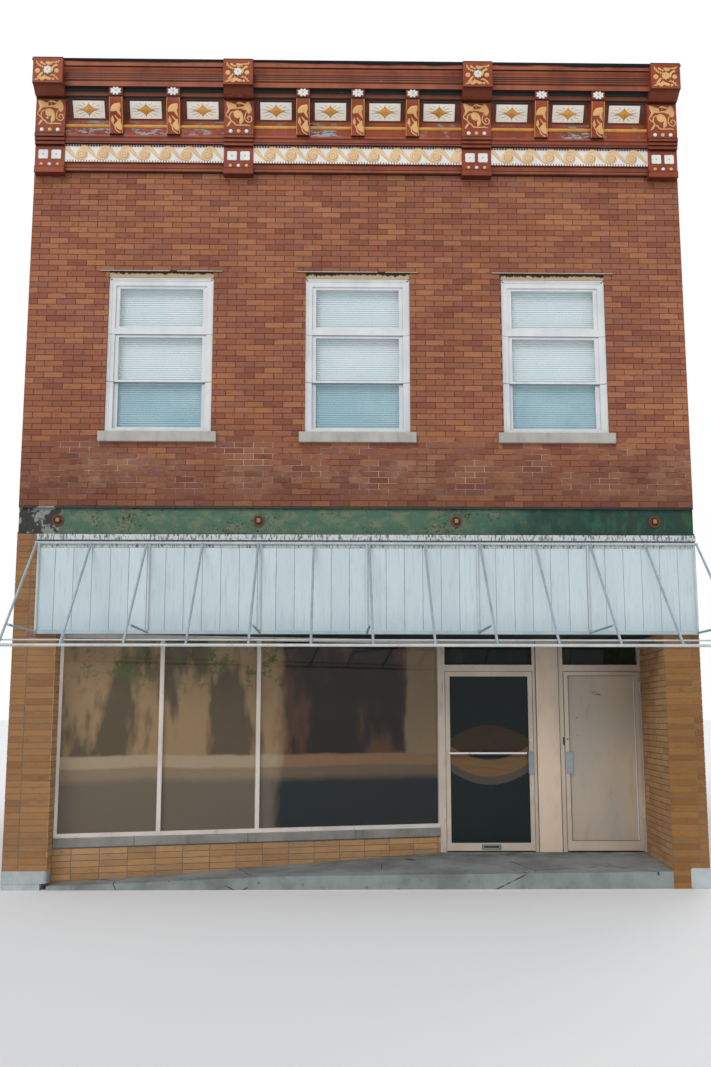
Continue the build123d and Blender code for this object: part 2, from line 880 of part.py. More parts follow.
def ring(x0, x1, z0, z1, side, head, foot, y0, y1):
    """A rectangular frame with its own side, head and foot widths."""
    block(x0, x1, y0, y1, z0, z1)
    cut(x0 + side, x1 - side, y0 - wall, y1 + wall, z0 + foot, z1 - head)


def sash_openings(x, bottom):
    """Outer edges of the top light, upper sash and lower sash, each with its track."""
    x0 = x - window_width / 2 + window_side_face
    x1 = x + window_width / 2 - window_side_face
    foot = bottom + window_foot_face
    rail = bottom + meeting_rail_bottom
    bar = bottom + transom_bar_bottom
    head = bottom + window_height - window_head_face
    return (
        (x0, x1, bar + transom_bar_height, head, 0),
        (x0, x1, rail, bar, 0),
        (x0, x1, foot, rail + meeting_rail_overlap, 1),
    )


def sash_depths(face, inward, track):
    """Front and back of a sash in its track."""
    near = window_recess + sash_setback + track * (sash_depth + track_gap)
    return depths(face, inward, near, near + sash_depth)


def frames(xs, bottom, face, inward):
    """Window frames, each with its transom bar."""
    y0, y1 = depths(face, inward, window_recess, window_recess + window_frame_depth)
    for x in xs:
        x0 = x - window_width / 2
        x1 = x + window_width / 2
        ring(x0, x1, bottom, bottom + window_height, window_side_face, window_head_face,
             window_foot_face, y0, y1)
        block(x0 + window_side_face, x1 - window_side_face, y0, y1,
              bottom + transom_bar_bottom, bottom + transom_bar_bottom + transom_bar_height)


def sashes(xs, bottom, face, inward):
    """The sashes of a row of windows."""
    for x in xs:
        for x0, x1, z0, z1, track in sash_openings(x, bottom):
            y0, y1 = sash_depths(face, inward, track)
            block(x0, x1, y0, y1, z0, z1)
            cut(x0 + sash_stile, x1 - sash_stile, y0, y1, z0 + sash_rail, z1 - sash_rail)


def panes(xs, bottom, face, inward):
    """The glass of a row of windows."""
    for x in xs:
        for x0, x1, z0, z1, track in sash_openings(x, bottom):
            y0, y1 = sash_depths(face, inward, track)
            middle = (y0 + y1) / 2
            block(x0 + sash_stile, x1 - sash_stile, middle - pane / 2, middle + pane / 2,
                  z0 + sash_rail, z1 - sash_rail)


def sills(xs, bottom, face, inward):
    """Stone sills under a row of windows."""
    y0, y1 = depths(face, inward, -window_sill_projection, window_recess + window_frame_depth)
    for x in xs:
        half = window_width / 2 + window_sill_overhang
        block(x - half, x + half, y0, y1, bottom - window_sill_height, bottom)


def lintels(xs, bottom, face, inward):
    """Steel lintels over a row of windows, each a wide thin flange on a strip as wide as the window."""
    flange_y0, flange_y1 = depths(face, inward, -lintel_projection, lintel_depth)
    strip_y0, strip_y1 = depths(face, inward, lintel_setback, lintel_depth)
    for x in xs:
        strip = window_width / 2
        flange = strip + lintel_overhang
        top = bottom + window_height
        flange_bottom = top + lintel_height - lintel_flange
        block(x - strip, x + strip, strip_y0, strip_y1, top, flange_bottom)
        block(x - flange, x + flange, flange_y0, flange_y1, flange_bottom, top + lintel_height)


with BuildPart() as window_frames:
    frames(window_xs, window_bottom, 0, 1)
save(window_frames, "window_frames")

with BuildPart() as window_sashes:
    sashes(window_xs, window_bottom, 0, 1)
save(window_sashes, "window_sashes")

with BuildPart() as window_glass:
    panes(window_xs, window_bottom, 0, 1)
save(window_glass, "window_glass")

with BuildPart() as window_blinds:
    y0 = window_recess + window_frame_depth
    for x in window_xs:
        half = window_width / 2 - blind_gap
        block(x - half, x + half, y0, y0 + blind_thickness, window_bottom + blind_gap, window_top)
save(window_blinds, "window_blinds")

with BuildPart() as window_sills:
    sills(window_xs, window_bottom, 0, 1)
save(window_sills, "window_sills")

with BuildPart() as window_lintels:
    lintels(window_xs, window_bottom, 0, 1)
save(window_lintels, "window_lintels")

with BuildPart() as rear_window_frames:
    for xs, bottom in ((window_xs, window_bottom), (lower_rear_xs, rear_window_bottom)):
        frames(xs, bottom, building_depth, -1)
        sashes(xs, bottom, building_depth, -1)
save(rear_window_frames, "rear_window_frames")

with BuildPart() as rear_window_glass:
    for xs, bottom in ((window_xs, window_bottom), (lower_rear_xs, rear_window_bottom)):
        panes(xs, bottom, building_depth, -1)
save(rear_window_glass, "rear_window_glass")

with BuildPart() as rear_window_sills:
    for xs, bottom in ((window_xs, window_bottom), (lower_rear_xs, rear_window_bottom)):
        sills(xs, bottom, building_depth, -1)
save(rear_window_sills, "rear_window_sills")

with BuildPart() as rear_window_lintels:
    for xs, bottom in ((window_xs, window_bottom), (lower_rear_xs, rear_window_bottom)):
        lintels(xs, bottom, building_depth, -1)
save(rear_window_lintels, "rear_window_lintels")

with BuildPart() as rear_door:
    half = rear_door_width / 2 + side_jamb
    y0, y1 = depths(building_depth, -1, window_recess, window_recess + door_frame_depth)
    ring(-half, half, door_level, transom_top, side_jamb, transom_bar, 0, y0, y1)
    y0, y1 = depths(building_depth, -1, window_recess + door_stop,
                    window_recess + door_stop + door_thickness)
    block(-half + side_jamb, half - side_jamb, y0, y1, door_level, transom_top - transom_bar)
save(rear_door, "rear_door")

# Cornice, in three bays between the four big brackets


def bay_profile(draw):
    """Draw one outline of (depth, level) points along each bay of the cornice."""
    for x0, x1 in bays:
        with BuildSketch(side_plane(x0)) as outline:
            with BuildLine():
                draw()
            make_face()
        extrude(outline.sketch, amount=x1 - x0)


def crown_outline():
    """Crown with its cyma, open at the wall."""
    s_curve((-crown_edge_reach, crown_edge), (-cyma_reach, cyma_bottom), (0, -1))
    Polyline((-cyma_reach, cyma_bottom), (-cyma_reach, corona_top), (0, corona_top), (0, crown_top),
             (-crown_reach, crown_top), (-crown_reach, crown_edge), (-crown_edge_reach, crown_edge))


def corona_outline():
    """Corona on its bed mould, with a cove between them."""
    Polyline((-bed_reach, bed_top), (-bed_reach, panel_top), (0, panel_top), (0, corona_top),
             (-cyma_reach, corona_top), (-cyma_reach, corona_fillet), (-corona_reach, corona_fillet),
             (-corona_reach, corona_bottom), (-cove_start_reach, corona_bottom))
    TangentArc((-cove_start_reach, corona_bottom), (-bed_reach, bed_top), tangent=(1, 0))


def panel_outline():
    """Panel strip that leans out from its foot to its head."""
    Polyline((0, rod_top), (-panel_reach, rod_top), (-panel_reach, lean_bottom),
             (-panel_head_reach, lean_top), (-panel_head_reach, panel_top), (0, panel_top), close=True)


def rod_outline():
    """Half round rod on a flat back."""
    radius = (rod_top - rod_bottom) / 2
    Polyline((-rod_reach + radius, rod_bottom), (0, rod_bottom), (0, rod_top),
             (-rod_reach + radius, rod_top))
    ThreePointArc((-rod_reach + radius, rod_top), (-rod_reach, (rod_top + rod_bottom) / 2),
                  (-rod_reach + radius, rod_bottom))


def architrave_outline():
    """Flat band with the stepped architrave moulding under it."""
    step_top = cornice_band_bottom - architrave_step
    Polyline((-architrave_reach, step_top), (-architrave_reach, frieze_top), (0, frieze_top),
             (0, rod_bottom), (-band_reach, rod_bottom), (-band_reach, cornice_band_bottom))
    TangentArc((-band_reach, cornice_band_bottom), (-architrave_reach, step_top), tangent=(0, -1))


def base_outline():
    """Low moulding under the frieze."""
    cove_bottom = base_bottom + base_edge
    cove_top = frieze_bottom - base_edge
    Polyline((-base_reach, cove_top), (-base_reach, frieze_bottom), (0, frieze_bottom),
             (0, base_bottom), (-frieze_reach, base_bottom), (-frieze_reach, cove_bottom))
    TangentArc((-frieze_reach, cove_bottom), (-base_reach, cove_top), tangent=(0, 1))


with BuildPart() as cornice_crown:
    bay_profile(crown_outline)
save(cornice_crown, "cornice_crown")

with BuildPart() as cornice_corona:
    bay_profile(corona_outline)
save(cornice_corona, "cornice_corona")


def star_outline():
    """A four pointed star with hollow sides, from one even curve."""
    points = []
    for i in range(star_sides):
        turn = 2 * pi * i / star_sides
        across = copysign(abs(cos(turn)) ** (2 / star_power), cos(turn))
        up = copysign(abs(sin(turn)) ** (2 / star_power), sin(turn))
        points.append((across * star_width / 2, up * star_height / 2))
    return points


# The leaning face of the panels, with sketch Y up its slope
panel_lean = Plane(
    origin=(0, -(panel_reach + panel_head_reach) / 2, (lean_bottom + lean_top) / 2),
    x_dir=(1, 0, 0),
    z_dir=(0, lean_bottom - lean_top, panel_reach - panel_head_reach),
)
with BuildPart() as cornice_panels:
    bay_profile(panel_outline)
    with BuildSketch(panel_lean) as recesses:
        for x in plate_xs:
            with Locations((x, 0)):
                Rectangle(plate_width + 2 * panel_side_margin, plate_height + 2 * panel_edge_margin)
    extrude(recesses.sketch, amount=-panel_recess, mode=Mode.SUBTRACT)
save(cornice_panels, "cornice_panels")

with BuildPart() as cornice_plates:
    with BuildSketch(panel_lean) as plates:
        for x in plate_xs:
            with Locations((x, 0)):
                Rectangle(plate_width, plate_height)
    extrude(plates.sketch, amount=-panel_recess)
    with BuildSketch(panel_lean) as stars:
        for x in plate_xs:
            with Locations((x, 0)):
                Polygon(*star_outline())
    extrude(stars.sketch, amount=star_relief)
save(cornice_plates, "cornice_plates")

with BuildPart() as cornice_rod:
    bay_profile(rod_outline)
save(cornice_rod, "cornice_rod")

with BuildPart() as cornice_architrave:
    bay_profile(architrave_outline)
save(cornice_architrave, "cornice_architrave")


def ribbon_outline(x, z):
    """A ribbon that rises over the disc at x and z and sweeps down to the foot of the next disc."""
    upper, lower = [], []
    for step in range(-ribbon_steps, 2 * ribbon_steps + 1):
        turn = pi * step / (2 * ribbon_steps)
        run = 2 * ribbon_rise_run / pi if step < 0 else ribbon_fall_run / pi
        along = (run, -ribbon_half_height * sin(turn))
        half = ribbon_half_width * cos((turn - pi / 4) * 2 / 3) / hypot(*along)
        middle = (x + ribbon_crest + run * turn, z + ribbon_half_height * cos(turn))
        upper.append((middle[0] - half * along[1], middle[1] + half * along[0]))
        lower.append((middle[0] + half * along[1], middle[1] - half * along[0]))
    return upper[:-1] + lower[:0:-1]


scroll_middle = frieze_bottom + scroll_foot + scroll_radius
with BuildPart() as scroll_frieze:
    for bay_left, bay_right in bays:
        block(bay_left, bay_right, -frieze_reach, 0, frieze_bottom, frieze_top)
        with BuildSketch(Plane.XZ.offset(frieze_reach)) as scrolls:
            x = bay_left + (scroll_start_share - 1) * scroll_pitch
            while x < bay_right:
                if x > bay_left:
                    with Locations((x, scroll_middle)):
                        RegularPolygon(scroll_radius, scroll_sides)
                Polygon(*ribbon_outline(x, scroll_middle + ribbon_lift))
                x += scroll_pitch
            with Locations(((bay_left + bay_right) / 2, (frieze_bottom + frieze_top) / 2)):
                Rectangle(bay_right - bay_left, frieze_height, mode=Mode.INTERSECT)
        extrude(scrolls.sketch, amount=scroll_relief)
save(scroll_frieze, "scroll_frieze")

with BuildPart() as cornice_base:
    bay_profile(base_outline)
save(cornice_base, "cornice_base")

cornice_runs = (cornice_corona, cornice_panels, cornice_rod, cornice_architrave)
small_block_bottom = corona_bottom - small_bracket_block
with BuildPart() as small_brackets:
    for x in small_bracket_xs:
        with BuildSketch(side_plane(x - small_bracket_width / 2)) as outline:
            with BuildLine():
                Polyline((-small_bracket_foot_reach, cornice_band_bottom), (0, cornice_band_bottom),
                         (0, corona_bottom), (-small_bracket_reach, corona_bottom),
                         (-small_bracket_reach, small_block_bottom))
                s_curve((-small_bracket_reach, small_block_bottom),
                        (-small_bracket_foot_reach, cornice_band_bottom), (0, -1))
            make_face()
        extrude(outline.sketch, amount=small_bracket_width)
    for run in cornice_runs:
        add(run.part, mode=Mode.SUBTRACT)
save(small_brackets, "small_brackets")


def mould_corners():
    """The big bracket's mould, in steps that draw back towards its foot."""
    corners = []
    for step in range(big_mould_steps):
        reach = big_mould_reach - step * big_mould_step
        upper = big_face_bottom - step * big_mould_height / big_mould_steps
        corners += [(-reach, upper), (-reach, upper - big_mould_height / big_mould_steps)]
    return corners


with BuildPart() as big_brackets:
    for x in big_bracket_xs:
        with BuildSketch(side_plane(x - big_bracket_width / 2)) as outline:
            with BuildLine():
                Polyline((0, cornice_foot), (0, crown_top), (-big_block_reach, crown_top),
                         (-big_block_reach, big_block_bottom))
                s_curve((-big_block_reach, big_block_bottom), (-big_cyma_reach, big_face_top), (1, 0))
                Polyline((-big_cyma_reach, big_face_top), (-big_face_reach, big_face_top),
                         (-big_face_reach, big_face_bottom), *mould_corners(),
                         (-big_foot_reach, big_mould_bottom),
                         (-big_foot_reach, big_foot_bottom), (-big_lip_reach, big_foot_bottom),
                         (-big_lip_reach, cornice_foot), (0, cornice_foot))
            make_face()
        extrude(outline.sketch, amount=big_bracket_width)
save(big_brackets, "big_brackets")
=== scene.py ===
import math

import bpy
import numpy as np
from mathutils import Euler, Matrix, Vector


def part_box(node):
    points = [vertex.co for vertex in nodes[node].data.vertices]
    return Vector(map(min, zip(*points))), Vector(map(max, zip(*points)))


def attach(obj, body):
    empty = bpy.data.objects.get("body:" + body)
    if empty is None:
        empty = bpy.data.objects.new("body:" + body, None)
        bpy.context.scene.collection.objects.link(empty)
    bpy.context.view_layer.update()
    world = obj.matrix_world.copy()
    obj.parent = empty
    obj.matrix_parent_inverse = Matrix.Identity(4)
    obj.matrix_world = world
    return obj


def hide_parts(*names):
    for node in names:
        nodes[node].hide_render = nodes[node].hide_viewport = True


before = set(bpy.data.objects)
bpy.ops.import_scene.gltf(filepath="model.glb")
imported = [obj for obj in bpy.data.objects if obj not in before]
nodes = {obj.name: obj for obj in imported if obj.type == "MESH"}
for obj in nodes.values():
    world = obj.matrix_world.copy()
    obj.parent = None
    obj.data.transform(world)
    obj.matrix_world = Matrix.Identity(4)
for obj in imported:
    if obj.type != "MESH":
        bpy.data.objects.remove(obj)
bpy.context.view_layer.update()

# Sizes in metres. Places come from the boxes of the CAD nodes.
UP = Vector((0, 0, 1))
FLAT = 1e-4

# Bricks and their joints, as (length, height)
RED_BRICK = (0.2125, 0.0619)
RED_JOINTS = (0.0065, 0.0058)
BUFF_BRICK = (0.298, 0.0612)
BUFF_JOINTS = (0.007, 0.0065)
JOINT_DEPTH = 0.006
CHAMFER = 0.0022
BRICK_LAP = 0.002
BRICK_SINK = 0.0015
LEAST_PIECE = 0.014
HEADER_EVERY = 7
LINTEL_FLANGE = 0.012
LINTEL_OVERHANG = 0.105
BEHIND_CORNICE = 0.03
GLAZING_LAP = 0.02
SLAT_PITCH = 0.0263

# Counts
TUBE_SIDES = 16
CURVE_STEPS = 5

# Camera, solved from the photo
CAMERA_PLACE = (-0.252, -12.647, 1.851)
CAMERA_PITCH = 0.158
CAMERA_YAW = 0.018
FOCAL_PIXELS = 1138.265
IMAGE_HEIGHT = 1067
SENSOR = 36


def tint(red, green, blue):
    """A display colour of 0 to 255 as the linear colour that a shader takes."""
    return tuple((c / 255 / 12.92) if c <= 10 else ((c / 255 + 0.055) / 1.055) ** 2.4
                 for c in (red, green, blue))


# Procedural finishes


class Finish:
    """A material whose colour, roughness and bump come from nodes in object space."""

    def __init__(self, name, roughness=0.8, metallic=0.0, specular=0.35):
        self.material = bpy.data.materials.new(name)
        self.material.use_nodes = True
        self.tree = self.material.node_tree
        self.shader = self.tree.nodes["Principled BSDF"]
        self.shader.inputs["Roughness"].default_value = roughness
        self.shader.inputs["Metallic"].default_value = metallic
        self.shader.inputs["Specular IOR Level"].default_value = specular
        self.place = self.tree.nodes.new("ShaderNodeTexCoord").outputs["Object"]

    def put(self, target, value):
        if isinstance(value, bpy.types.NodeSocket):
            self.tree.links.new(value, target)
        elif isinstance(value, tuple) and len(value) == 3 and target.type == "RGBA":
            target.default_value = (*value, 1)
        else:
            target.default_value = value

    def attribute(self, name):
        node = self.tree.nodes.new("ShaderNodeAttribute")
        node.attribute_name = name
        return node.outputs["Fac"]

    def axis(self, index):
        node = self.tree.nodes.new("ShaderNodeSeparateXYZ")
        self.put(node.inputs[0], self.place)
        return node.outputs[index]

    def spot(self, stretch, shift):
        node = self.tree.nodes.new("ShaderNodeMapping")
        self.put(node.inputs["Vector"], self.place)
        node.inputs["Scale"].default_value = stretch
        node.inputs["Location"].default_value = (shift, shift * 0.7, shift * 1.3)
        return node.outputs[0]

    def noise(self, scale, detail, rough, stretch=(1, 1, 1), shift=0.0):
        node = self.tree.nodes.new("ShaderNodeTexNoise")
        self.put(node.inputs["Vector"], self.spot(stretch, shift))
        node.inputs["Scale"].default_value = scale
        node.inputs["Detail"].default_value = detail
        node.inputs["Roughness"].default_value = rough
        return node.outputs[0]

    def cells(self, scale, feature="F1", stretch=(1, 1, 1), shift=0.0):
        node = self.tree.nodes.new("ShaderNodeTexVoronoi")
        node.feature = feature
        self.put(node.inputs["Vector"], self.spot(stretch, shift))
        node.inputs["Scale"].default_value = scale
        return node.outputs["Distance"]

    def calc(self, how, first, second):
        node = self.tree.nodes.new("ShaderNodeMath")
        node.operation = how
        self.put(node.inputs[0], first)
        self.put(node.inputs[1], second)
        return node.outputs[0]

    def times(self, first, *others):
        for other in others:
            first = self.calc("MULTIPLY", first, other)
        return first

    def plus(self, first, second):
        return self.calc("ADD", first, second)

    def minus(self, first, second):
        return self.calc("SUBTRACT", first, second)

    def most(self, first, second):
        return self.calc("MAXIMUM", first, second)

    def ripple(self, value, width):
        """A zigzag from 0 up to the width and back."""
        return self.calc("PINGPONG", value, width)

    def band(self, value, low, high):
        """0 below low and 1 above high, or the other way round where low is the higher."""
        node = self.tree.nodes.new("ShaderNodeMapRange")
        node.interpolation_type = "SMOOTHSTEP"
        self.put(node.inputs["Value"], value)
        flip = low > high
        node.inputs["From Min"].default_value = min(low, high)
        node.inputs["From Max"].default_value = max(low, high)
        node.inputs["To Min"].default_value = 1.0 if flip else 0.0
        node.inputs["To Max"].default_value = 0.0 if flip else 1.0
        return node.outputs["Result"]

    def mix(self, share, first, second, how="MIX"):
        node = self.tree.nodes.new("ShaderNodeMix")
        node.data_type = "RGBA"
        node.blend_type = how
        self.put(node.inputs[0], share)
        self.put(node.inputs[6], first)
        self.put(node.inputs[7], second)
        return node.outputs[2]

    def over(self, base, colour, *shares):
        """The base with a colour laid over it, by the product of the shares."""
        return self.mix(self.times(*shares), base, colour)

    def darken(self, base, colour, *shares):
        """The base multiplied by a colour, by the product of the shares."""
        return self.mix(self.times(*shares), base, colour, "MULTIPLY")

    def steps(self, value, *stops):
        node = self.tree.nodes.new("ShaderNodeValToRGB")
        self.put(node.inputs[0], value)
        ramp = node.color_ramp
        while len(ramp.elements) < len(stops):
            ramp.elements.new(0.5)
        for element, (position, colour) in zip(ramp.elements, stops):
            element.position = position
            element.color = (*colour, 1)
        return node.outputs[0]

    def colour(self, value):
        self.put(self.shader.inputs["Base Color"], value)

    def rough(self, value):
        self.put(self.shader.inputs["Roughness"], value)

    def bump(self, height, distance, strength):
        node = self.tree.nodes.new("ShaderNodeBump")
        node.inputs["Distance"].default_value = distance
        node.inputs["Strength"].default_value = strength
        self.put(node.inputs["Height"], height)
        self.tree.links.new(node.outputs[0], self.shader.inputs["Normal"])


def brick_finish(name, colours, soot, bloom, bloom_levels, bloom_share, warm_from=0):
    """Fired brick: a tone for each brick, fire marks, drag lines, soot and pale bloom."""
    f = Finish(name, roughness=0.88, specular=0.25)
    tone = f.attribute("tone")
    last = len(colours) - 1
    base = f.steps(tone, *[(i / last, c) for i, c in enumerate(colours)])
    blotch = f.noise(11, 5, 0.65, (1, 1, 2.2))
    base = f.darken(base, soot, f.band(blotch, 0.52, 0.72))
    base = f.darken(base, (0.55, 0.5, 0.48), f.noise(90, 4, 0.7), 0.45)
    wide = f.band(f.noise(0.9, 5, 0.6, shift=4), 0.35, 0.7)
    base = f.darken(base, (0.62, 0.56, 0.52), wide, 0.3)
    level = f.axis(2)
    if warm_from:
        base = f.darken(base, (0.86, 0.8, 0.6), f.band(f.axis(0), warm_from, warm_from + 0.1))
    low, high = bloom_levels
    inside = f.times(f.band(level, low, low + 0.25), f.band(level, high, high - 0.2))
    if low > 1:
        # Darker towards the bottom of the wall
        darker_low = f.times(f.band(level, low + 1.0, low + 0.2), 0.8)
        base = f.darken(base, (0.6, 0.6, 0.64), darker_low)
    patch = f.band(f.noise(2.3, 6, 0.7, shift=9), 0.5, 0.7)
    pale = f.times(f.times(inside, patch), bloom_share)
    base = f.mix(pale, base, bloom)
    f.colour(base)
    grain = f.noise(260, 3, 0.7)
    drag = f.noise(60, 3, 0.6, (0.25, 0.25, 3))
    pits = f.band(f.cells(150), 0.25, 0.05)
    height = f.plus(f.times(grain, 0.5), f.times(drag, 0.6))
    f.bump(f.minus(height, f.times(pits, 0.5)), 0.0016, 0.7)
    return f.material


def mortar_finish(name, dark, light, light_levels=None):
    """Sanded mortar, washed darker in places."""
    f = Finish(name, roughness=0.95, specular=0.15)
    share = f.band(f.noise(3.1, 5, 0.6), 0.45, 0.75)
    if light_levels:
        low, high = light_levels
        level = f.axis(2)
        inside = f.times(f.band(level, low, low + 0.3), f.band(level, high, high - 0.2))
        share = f.times(f.band(f.noise(2.0, 5, 0.6), 0.42, 0.6), inside)
    base = f.mix(share, dark, light)
    f.colour(f.darken(base, (0.6, 0.58, 0.56), f.noise(220, 3, 0.7)))
    f.bump(f.noise(420, 3, 0.7), 0.001, 0.6)
    return f.material


def level_zones(f, zones):
    """The share given for each zone of levels, and 0 outside them all."""
    total = 0.0
    for low, high, share in zones:
        inside = f.times(f.band(f.axis(2), low, low + 0.003), f.band(f.axis(2), high, high - 0.003))
        total = f.most(total, f.times(inside, share))
    return total


def worn_paint(name, base, shade, under, chips, roughness=0.5, metallic=0.0, runs=0.35, size=1.0,
               tinted=(), flaky=()):
    """Old paint in two tones with dirt that runs down and chips that show what lies under it."""
    f = Finish(name, roughness=roughness, metallic=metallic, specular=0.25)
    tone = f.mix(f.band(f.noise(2.4 * size, 5, 0.6), 0.35, 0.68), base, shade)
    # Level zones laid over the tone: paint colours, and painted shade, shadow lines and a highlight
    for colour, zone in tinted:
        tone = f.mix(level_zones(f, (zone,)), tone, colour)
    streak = f.band(f.noise(9 * size, 5, 0.65, (1, 1, 0.07), shift=3), 0.42, 0.72)
    tone = f.darken(tone, (0.5, 0.44, 0.4), streak, runs)
    tone = f.darken(tone, (0.7, 0.68, 0.66), f.noise(70 * size, 4, 0.7), 0.3)
    patch = f.band(f.noise(3.3 * size, 4, 0.6, (0.5, 1, 1.6), shift=7), 0.62 - chips, 0.8 - chips)
    flake = f.band(f.noise(38 * size, 6, 0.75, (0.5, 1, 1.4), shift=5), 0.6, 0.63)
    bare = f.times(patch, flake)
    if flaky:
        wide = f.band(f.noise(1.9, 4, 0.6, shift=11), 0.48, 0.58)
        peel = f.band(f.noise(13, 7, 0.74, (0.55, 1, 1.7), shift=11), 0.5, 0.53)
        peel = f.times(peel, wide)
        bare = f.most(bare, f.times(peel, level_zones(f, flaky)))
    f.colour(f.mix(bare, tone, under))
    f.rough(f.plus(roughness, f.times(bare, 0.25)))
    soft = f.times(f.noise(24 * size, 4, 0.6), 0.4)
    f.bump(f.minus(soft, f.times(bare, 0.8)), 0.0012, 0.6)
    return f.material


def stone_finish(name, base, shade, stain, joint_pitch=0):
    """Dressed stone or old concrete: cloudy, sandy, with stains that run down."""
    f = Finish(name, roughness=0.85, specular=0.25)
    cloud = f.mix(f.band(f.noise(2.7, 6, 0.65), 0.35, 0.68), base, shade)
    streak = f.band(f.noise(7, 5, 0.65, (1, 1, 0.15), shift=2), 0.5, 0.75)
    cloud = f.over(cloud, stain, streak, 0.5)
    if joint_pitch:
        joint = f.band(f.ripple(f.axis(0), joint_pitch), 0.004, 0.002)
        cloud = f.mix(joint, cloud, tint(70, 66, 60))
    f.colour(f.darken(cloud, (0.6, 0.6, 0.6), f.noise(160, 4, 0.8), 0.4))
    pits = f.band(f.cells(90), 0.22, 0.04)
    f.bump(f.minus(f.noise(180, 4, 0.7), f.times(pits, 0.6)), 0.0014, 0.6)
    return f.material


def slab_finish():
    """Worn concrete of the entry with fine cracks and a dark drip edge near the doors."""
    f = Finish("entry_concrete", roughness=0.8, specular=0.3)
    base = f.mix(f.band(f.noise(1.6, 6, 0.65), 0.35, 0.7), tint(152, 158, 158), tint(116, 120, 121))
    near_doors = f.band(f.axis(1), 0.75, 1.4)
    dirt = f.times(near_doors, f.band(f.noise(4, 5, 0.6), 0.3, 0.65))
    base = f.over(base, tint(72, 74, 74), dirt, 0.75)
    crack = f.band(f.cells(0.7, "DISTANCE_TO_EDGE", (1.3, 0.7, 1)), 0.006, 0.002)
    broken = f.band(f.noise(2.2, 3, 0.6, shift=6), 0.5, 0.56)
    line = f.times(crack, broken)
    base = f.mix(line, base, tint(52, 52, 50))
    spots = f.band(f.cells(5, shift=3), 0.1, 0.06)
    base = f.over(base, tint(60, 60, 58), spots, 0.5)
    f.colour(f.darken(base, (0.6, 0.6, 0.6), f.noise(240, 3, 0.8), 0.35))
    f.bump(f.minus(f.noise(150, 4, 0.7), f.times(line, 2)), 0.0012, 0.6)
    return f.material


def beam_finish():
    """Green paint on a rusting steel beam, broken at its left end and fresher at the right."""
    f = Finish("green_beam_paint", roughness=0.55, specular=0.4)
    drips = f.noise(8, 7, 0.74, (0.8, 1, 1.1))
    faded = f.mix(f.band(drips, 0.44, 0.62), tint(66, 104, 84), tint(108, 120, 92))
    fresh = f.mix(f.band(f.noise(9, 6, 0.68, (1, 1, 0.4), shift=6), 0.46, 0.66), tint(2, 54, 44),
                  tint(26, 84, 62))
    side = f.plus(f.axis(0), f.times(f.noise(1.4, 4, 0.6), 3.2))
    paint = f.mix(f.band(side, 2.7, 3.9), faded, fresh)
    wide = f.noise(1.7, 4, 0.6, shift=8)
    rust_map = f.noise(34, 8, 0.75, (0.7, 1, 1.1), shift=2)
    rusty = f.band(f.plus(rust_map, f.times(wide, 0.55)), 0.87, 0.91)
    rust = f.mix(f.noise(45, 5, 0.7), tint(44, 38, 32), tint(92, 68, 46))
    specks = f.band(f.cells(17, shift=4), 0.22, 0.15)
    specks = f.times(specks, f.band(wide, 0.42, 0.52))
    bare = f.most(rusty, specks)
    paint = f.darken(paint, (0.55, 0.58, 0.56), f.noise(80, 4, 0.8), 0.5)
    colour = f.mix(bare, paint, rust)
    # Dark lines along the top and bottom edges: rust, and painted shade at the flanges
    ragged = f.plus(f.axis(2), f.times(f.noise(14, 6, 0.75), 0.022))
    edge = f.most(f.band(ragged, 4.158, 4.163), f.band(ragged, 3.874, 3.870))
    colour = f.over(colour, tint(32, 34, 32), edge, 0.92)
    # The broken left end: dark patches, partly black stain and partly painted shade of the hollow, with
    # pale mortar
    torn = f.plus(f.axis(0), f.times(f.noise(6, 6, 0.7, shift=12), 0.45))
    hole = f.band(torn, -3.1, -3.16)
    lump = f.mix(f.band(f.noise(9, 5, 0.65, shift=14), 0.5, 0.56), tint(34, 32, 30), tint(132, 138, 132))
    f.colour(f.mix(hole, colour, lump))
    f.rough(f.plus(0.5, f.times(bare, 0.35)))
    f.bump(f.minus(f.times(f.noise(30, 5, 0.7), 0.5), bare), 0.0012, 0.7)
    return f.material


def rust_finish(name, dark, light, flake):
    """Rusted iron with what is left of its paint."""
    f = Finish(name, roughness=0.85, specular=0.2)
    base = f.mix(f.noise(28, 7, 0.75), dark, light)
    left = f.band(f.noise(19, 6, 0.75, (0.6, 1, 1.6), shift=5), 0.56, 0.6)
    f.colour(f.mix(left, base, flake))
    f.bump(f.plus(f.noise(85, 6, 0.75), f.times(left, 0.6)), 0.002, 0.8)
    return f.material


def lintel_finish():
    """Tan lintel face under a black crust that hangs from its flange."""
    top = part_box("window_lintels")[1].z
    f = Finish("lintel_iron", roughness=0.85, specular=0.2)
    tan = f.mix(f.noise(24, 6, 0.7), tint(168, 144, 112), tint(204, 184, 150))
    hang = f.plus(f.axis(2), f.times(f.noise(15, 8, 0.78, (1, 1, 0.6), shift=3), 0.15))
    crust = f.band(hang, top + 0.037, top + 0.042)
    black = f.mix(f.noise(60, 5, 0.7), tint(24, 22, 20), tint(92, 70, 50))
    f.colour(f.mix(crust, tan, black))
    f.bump(f.plus(f.noise(85, 6, 0.75), crust), 0.002, 0.8)
    return f.material


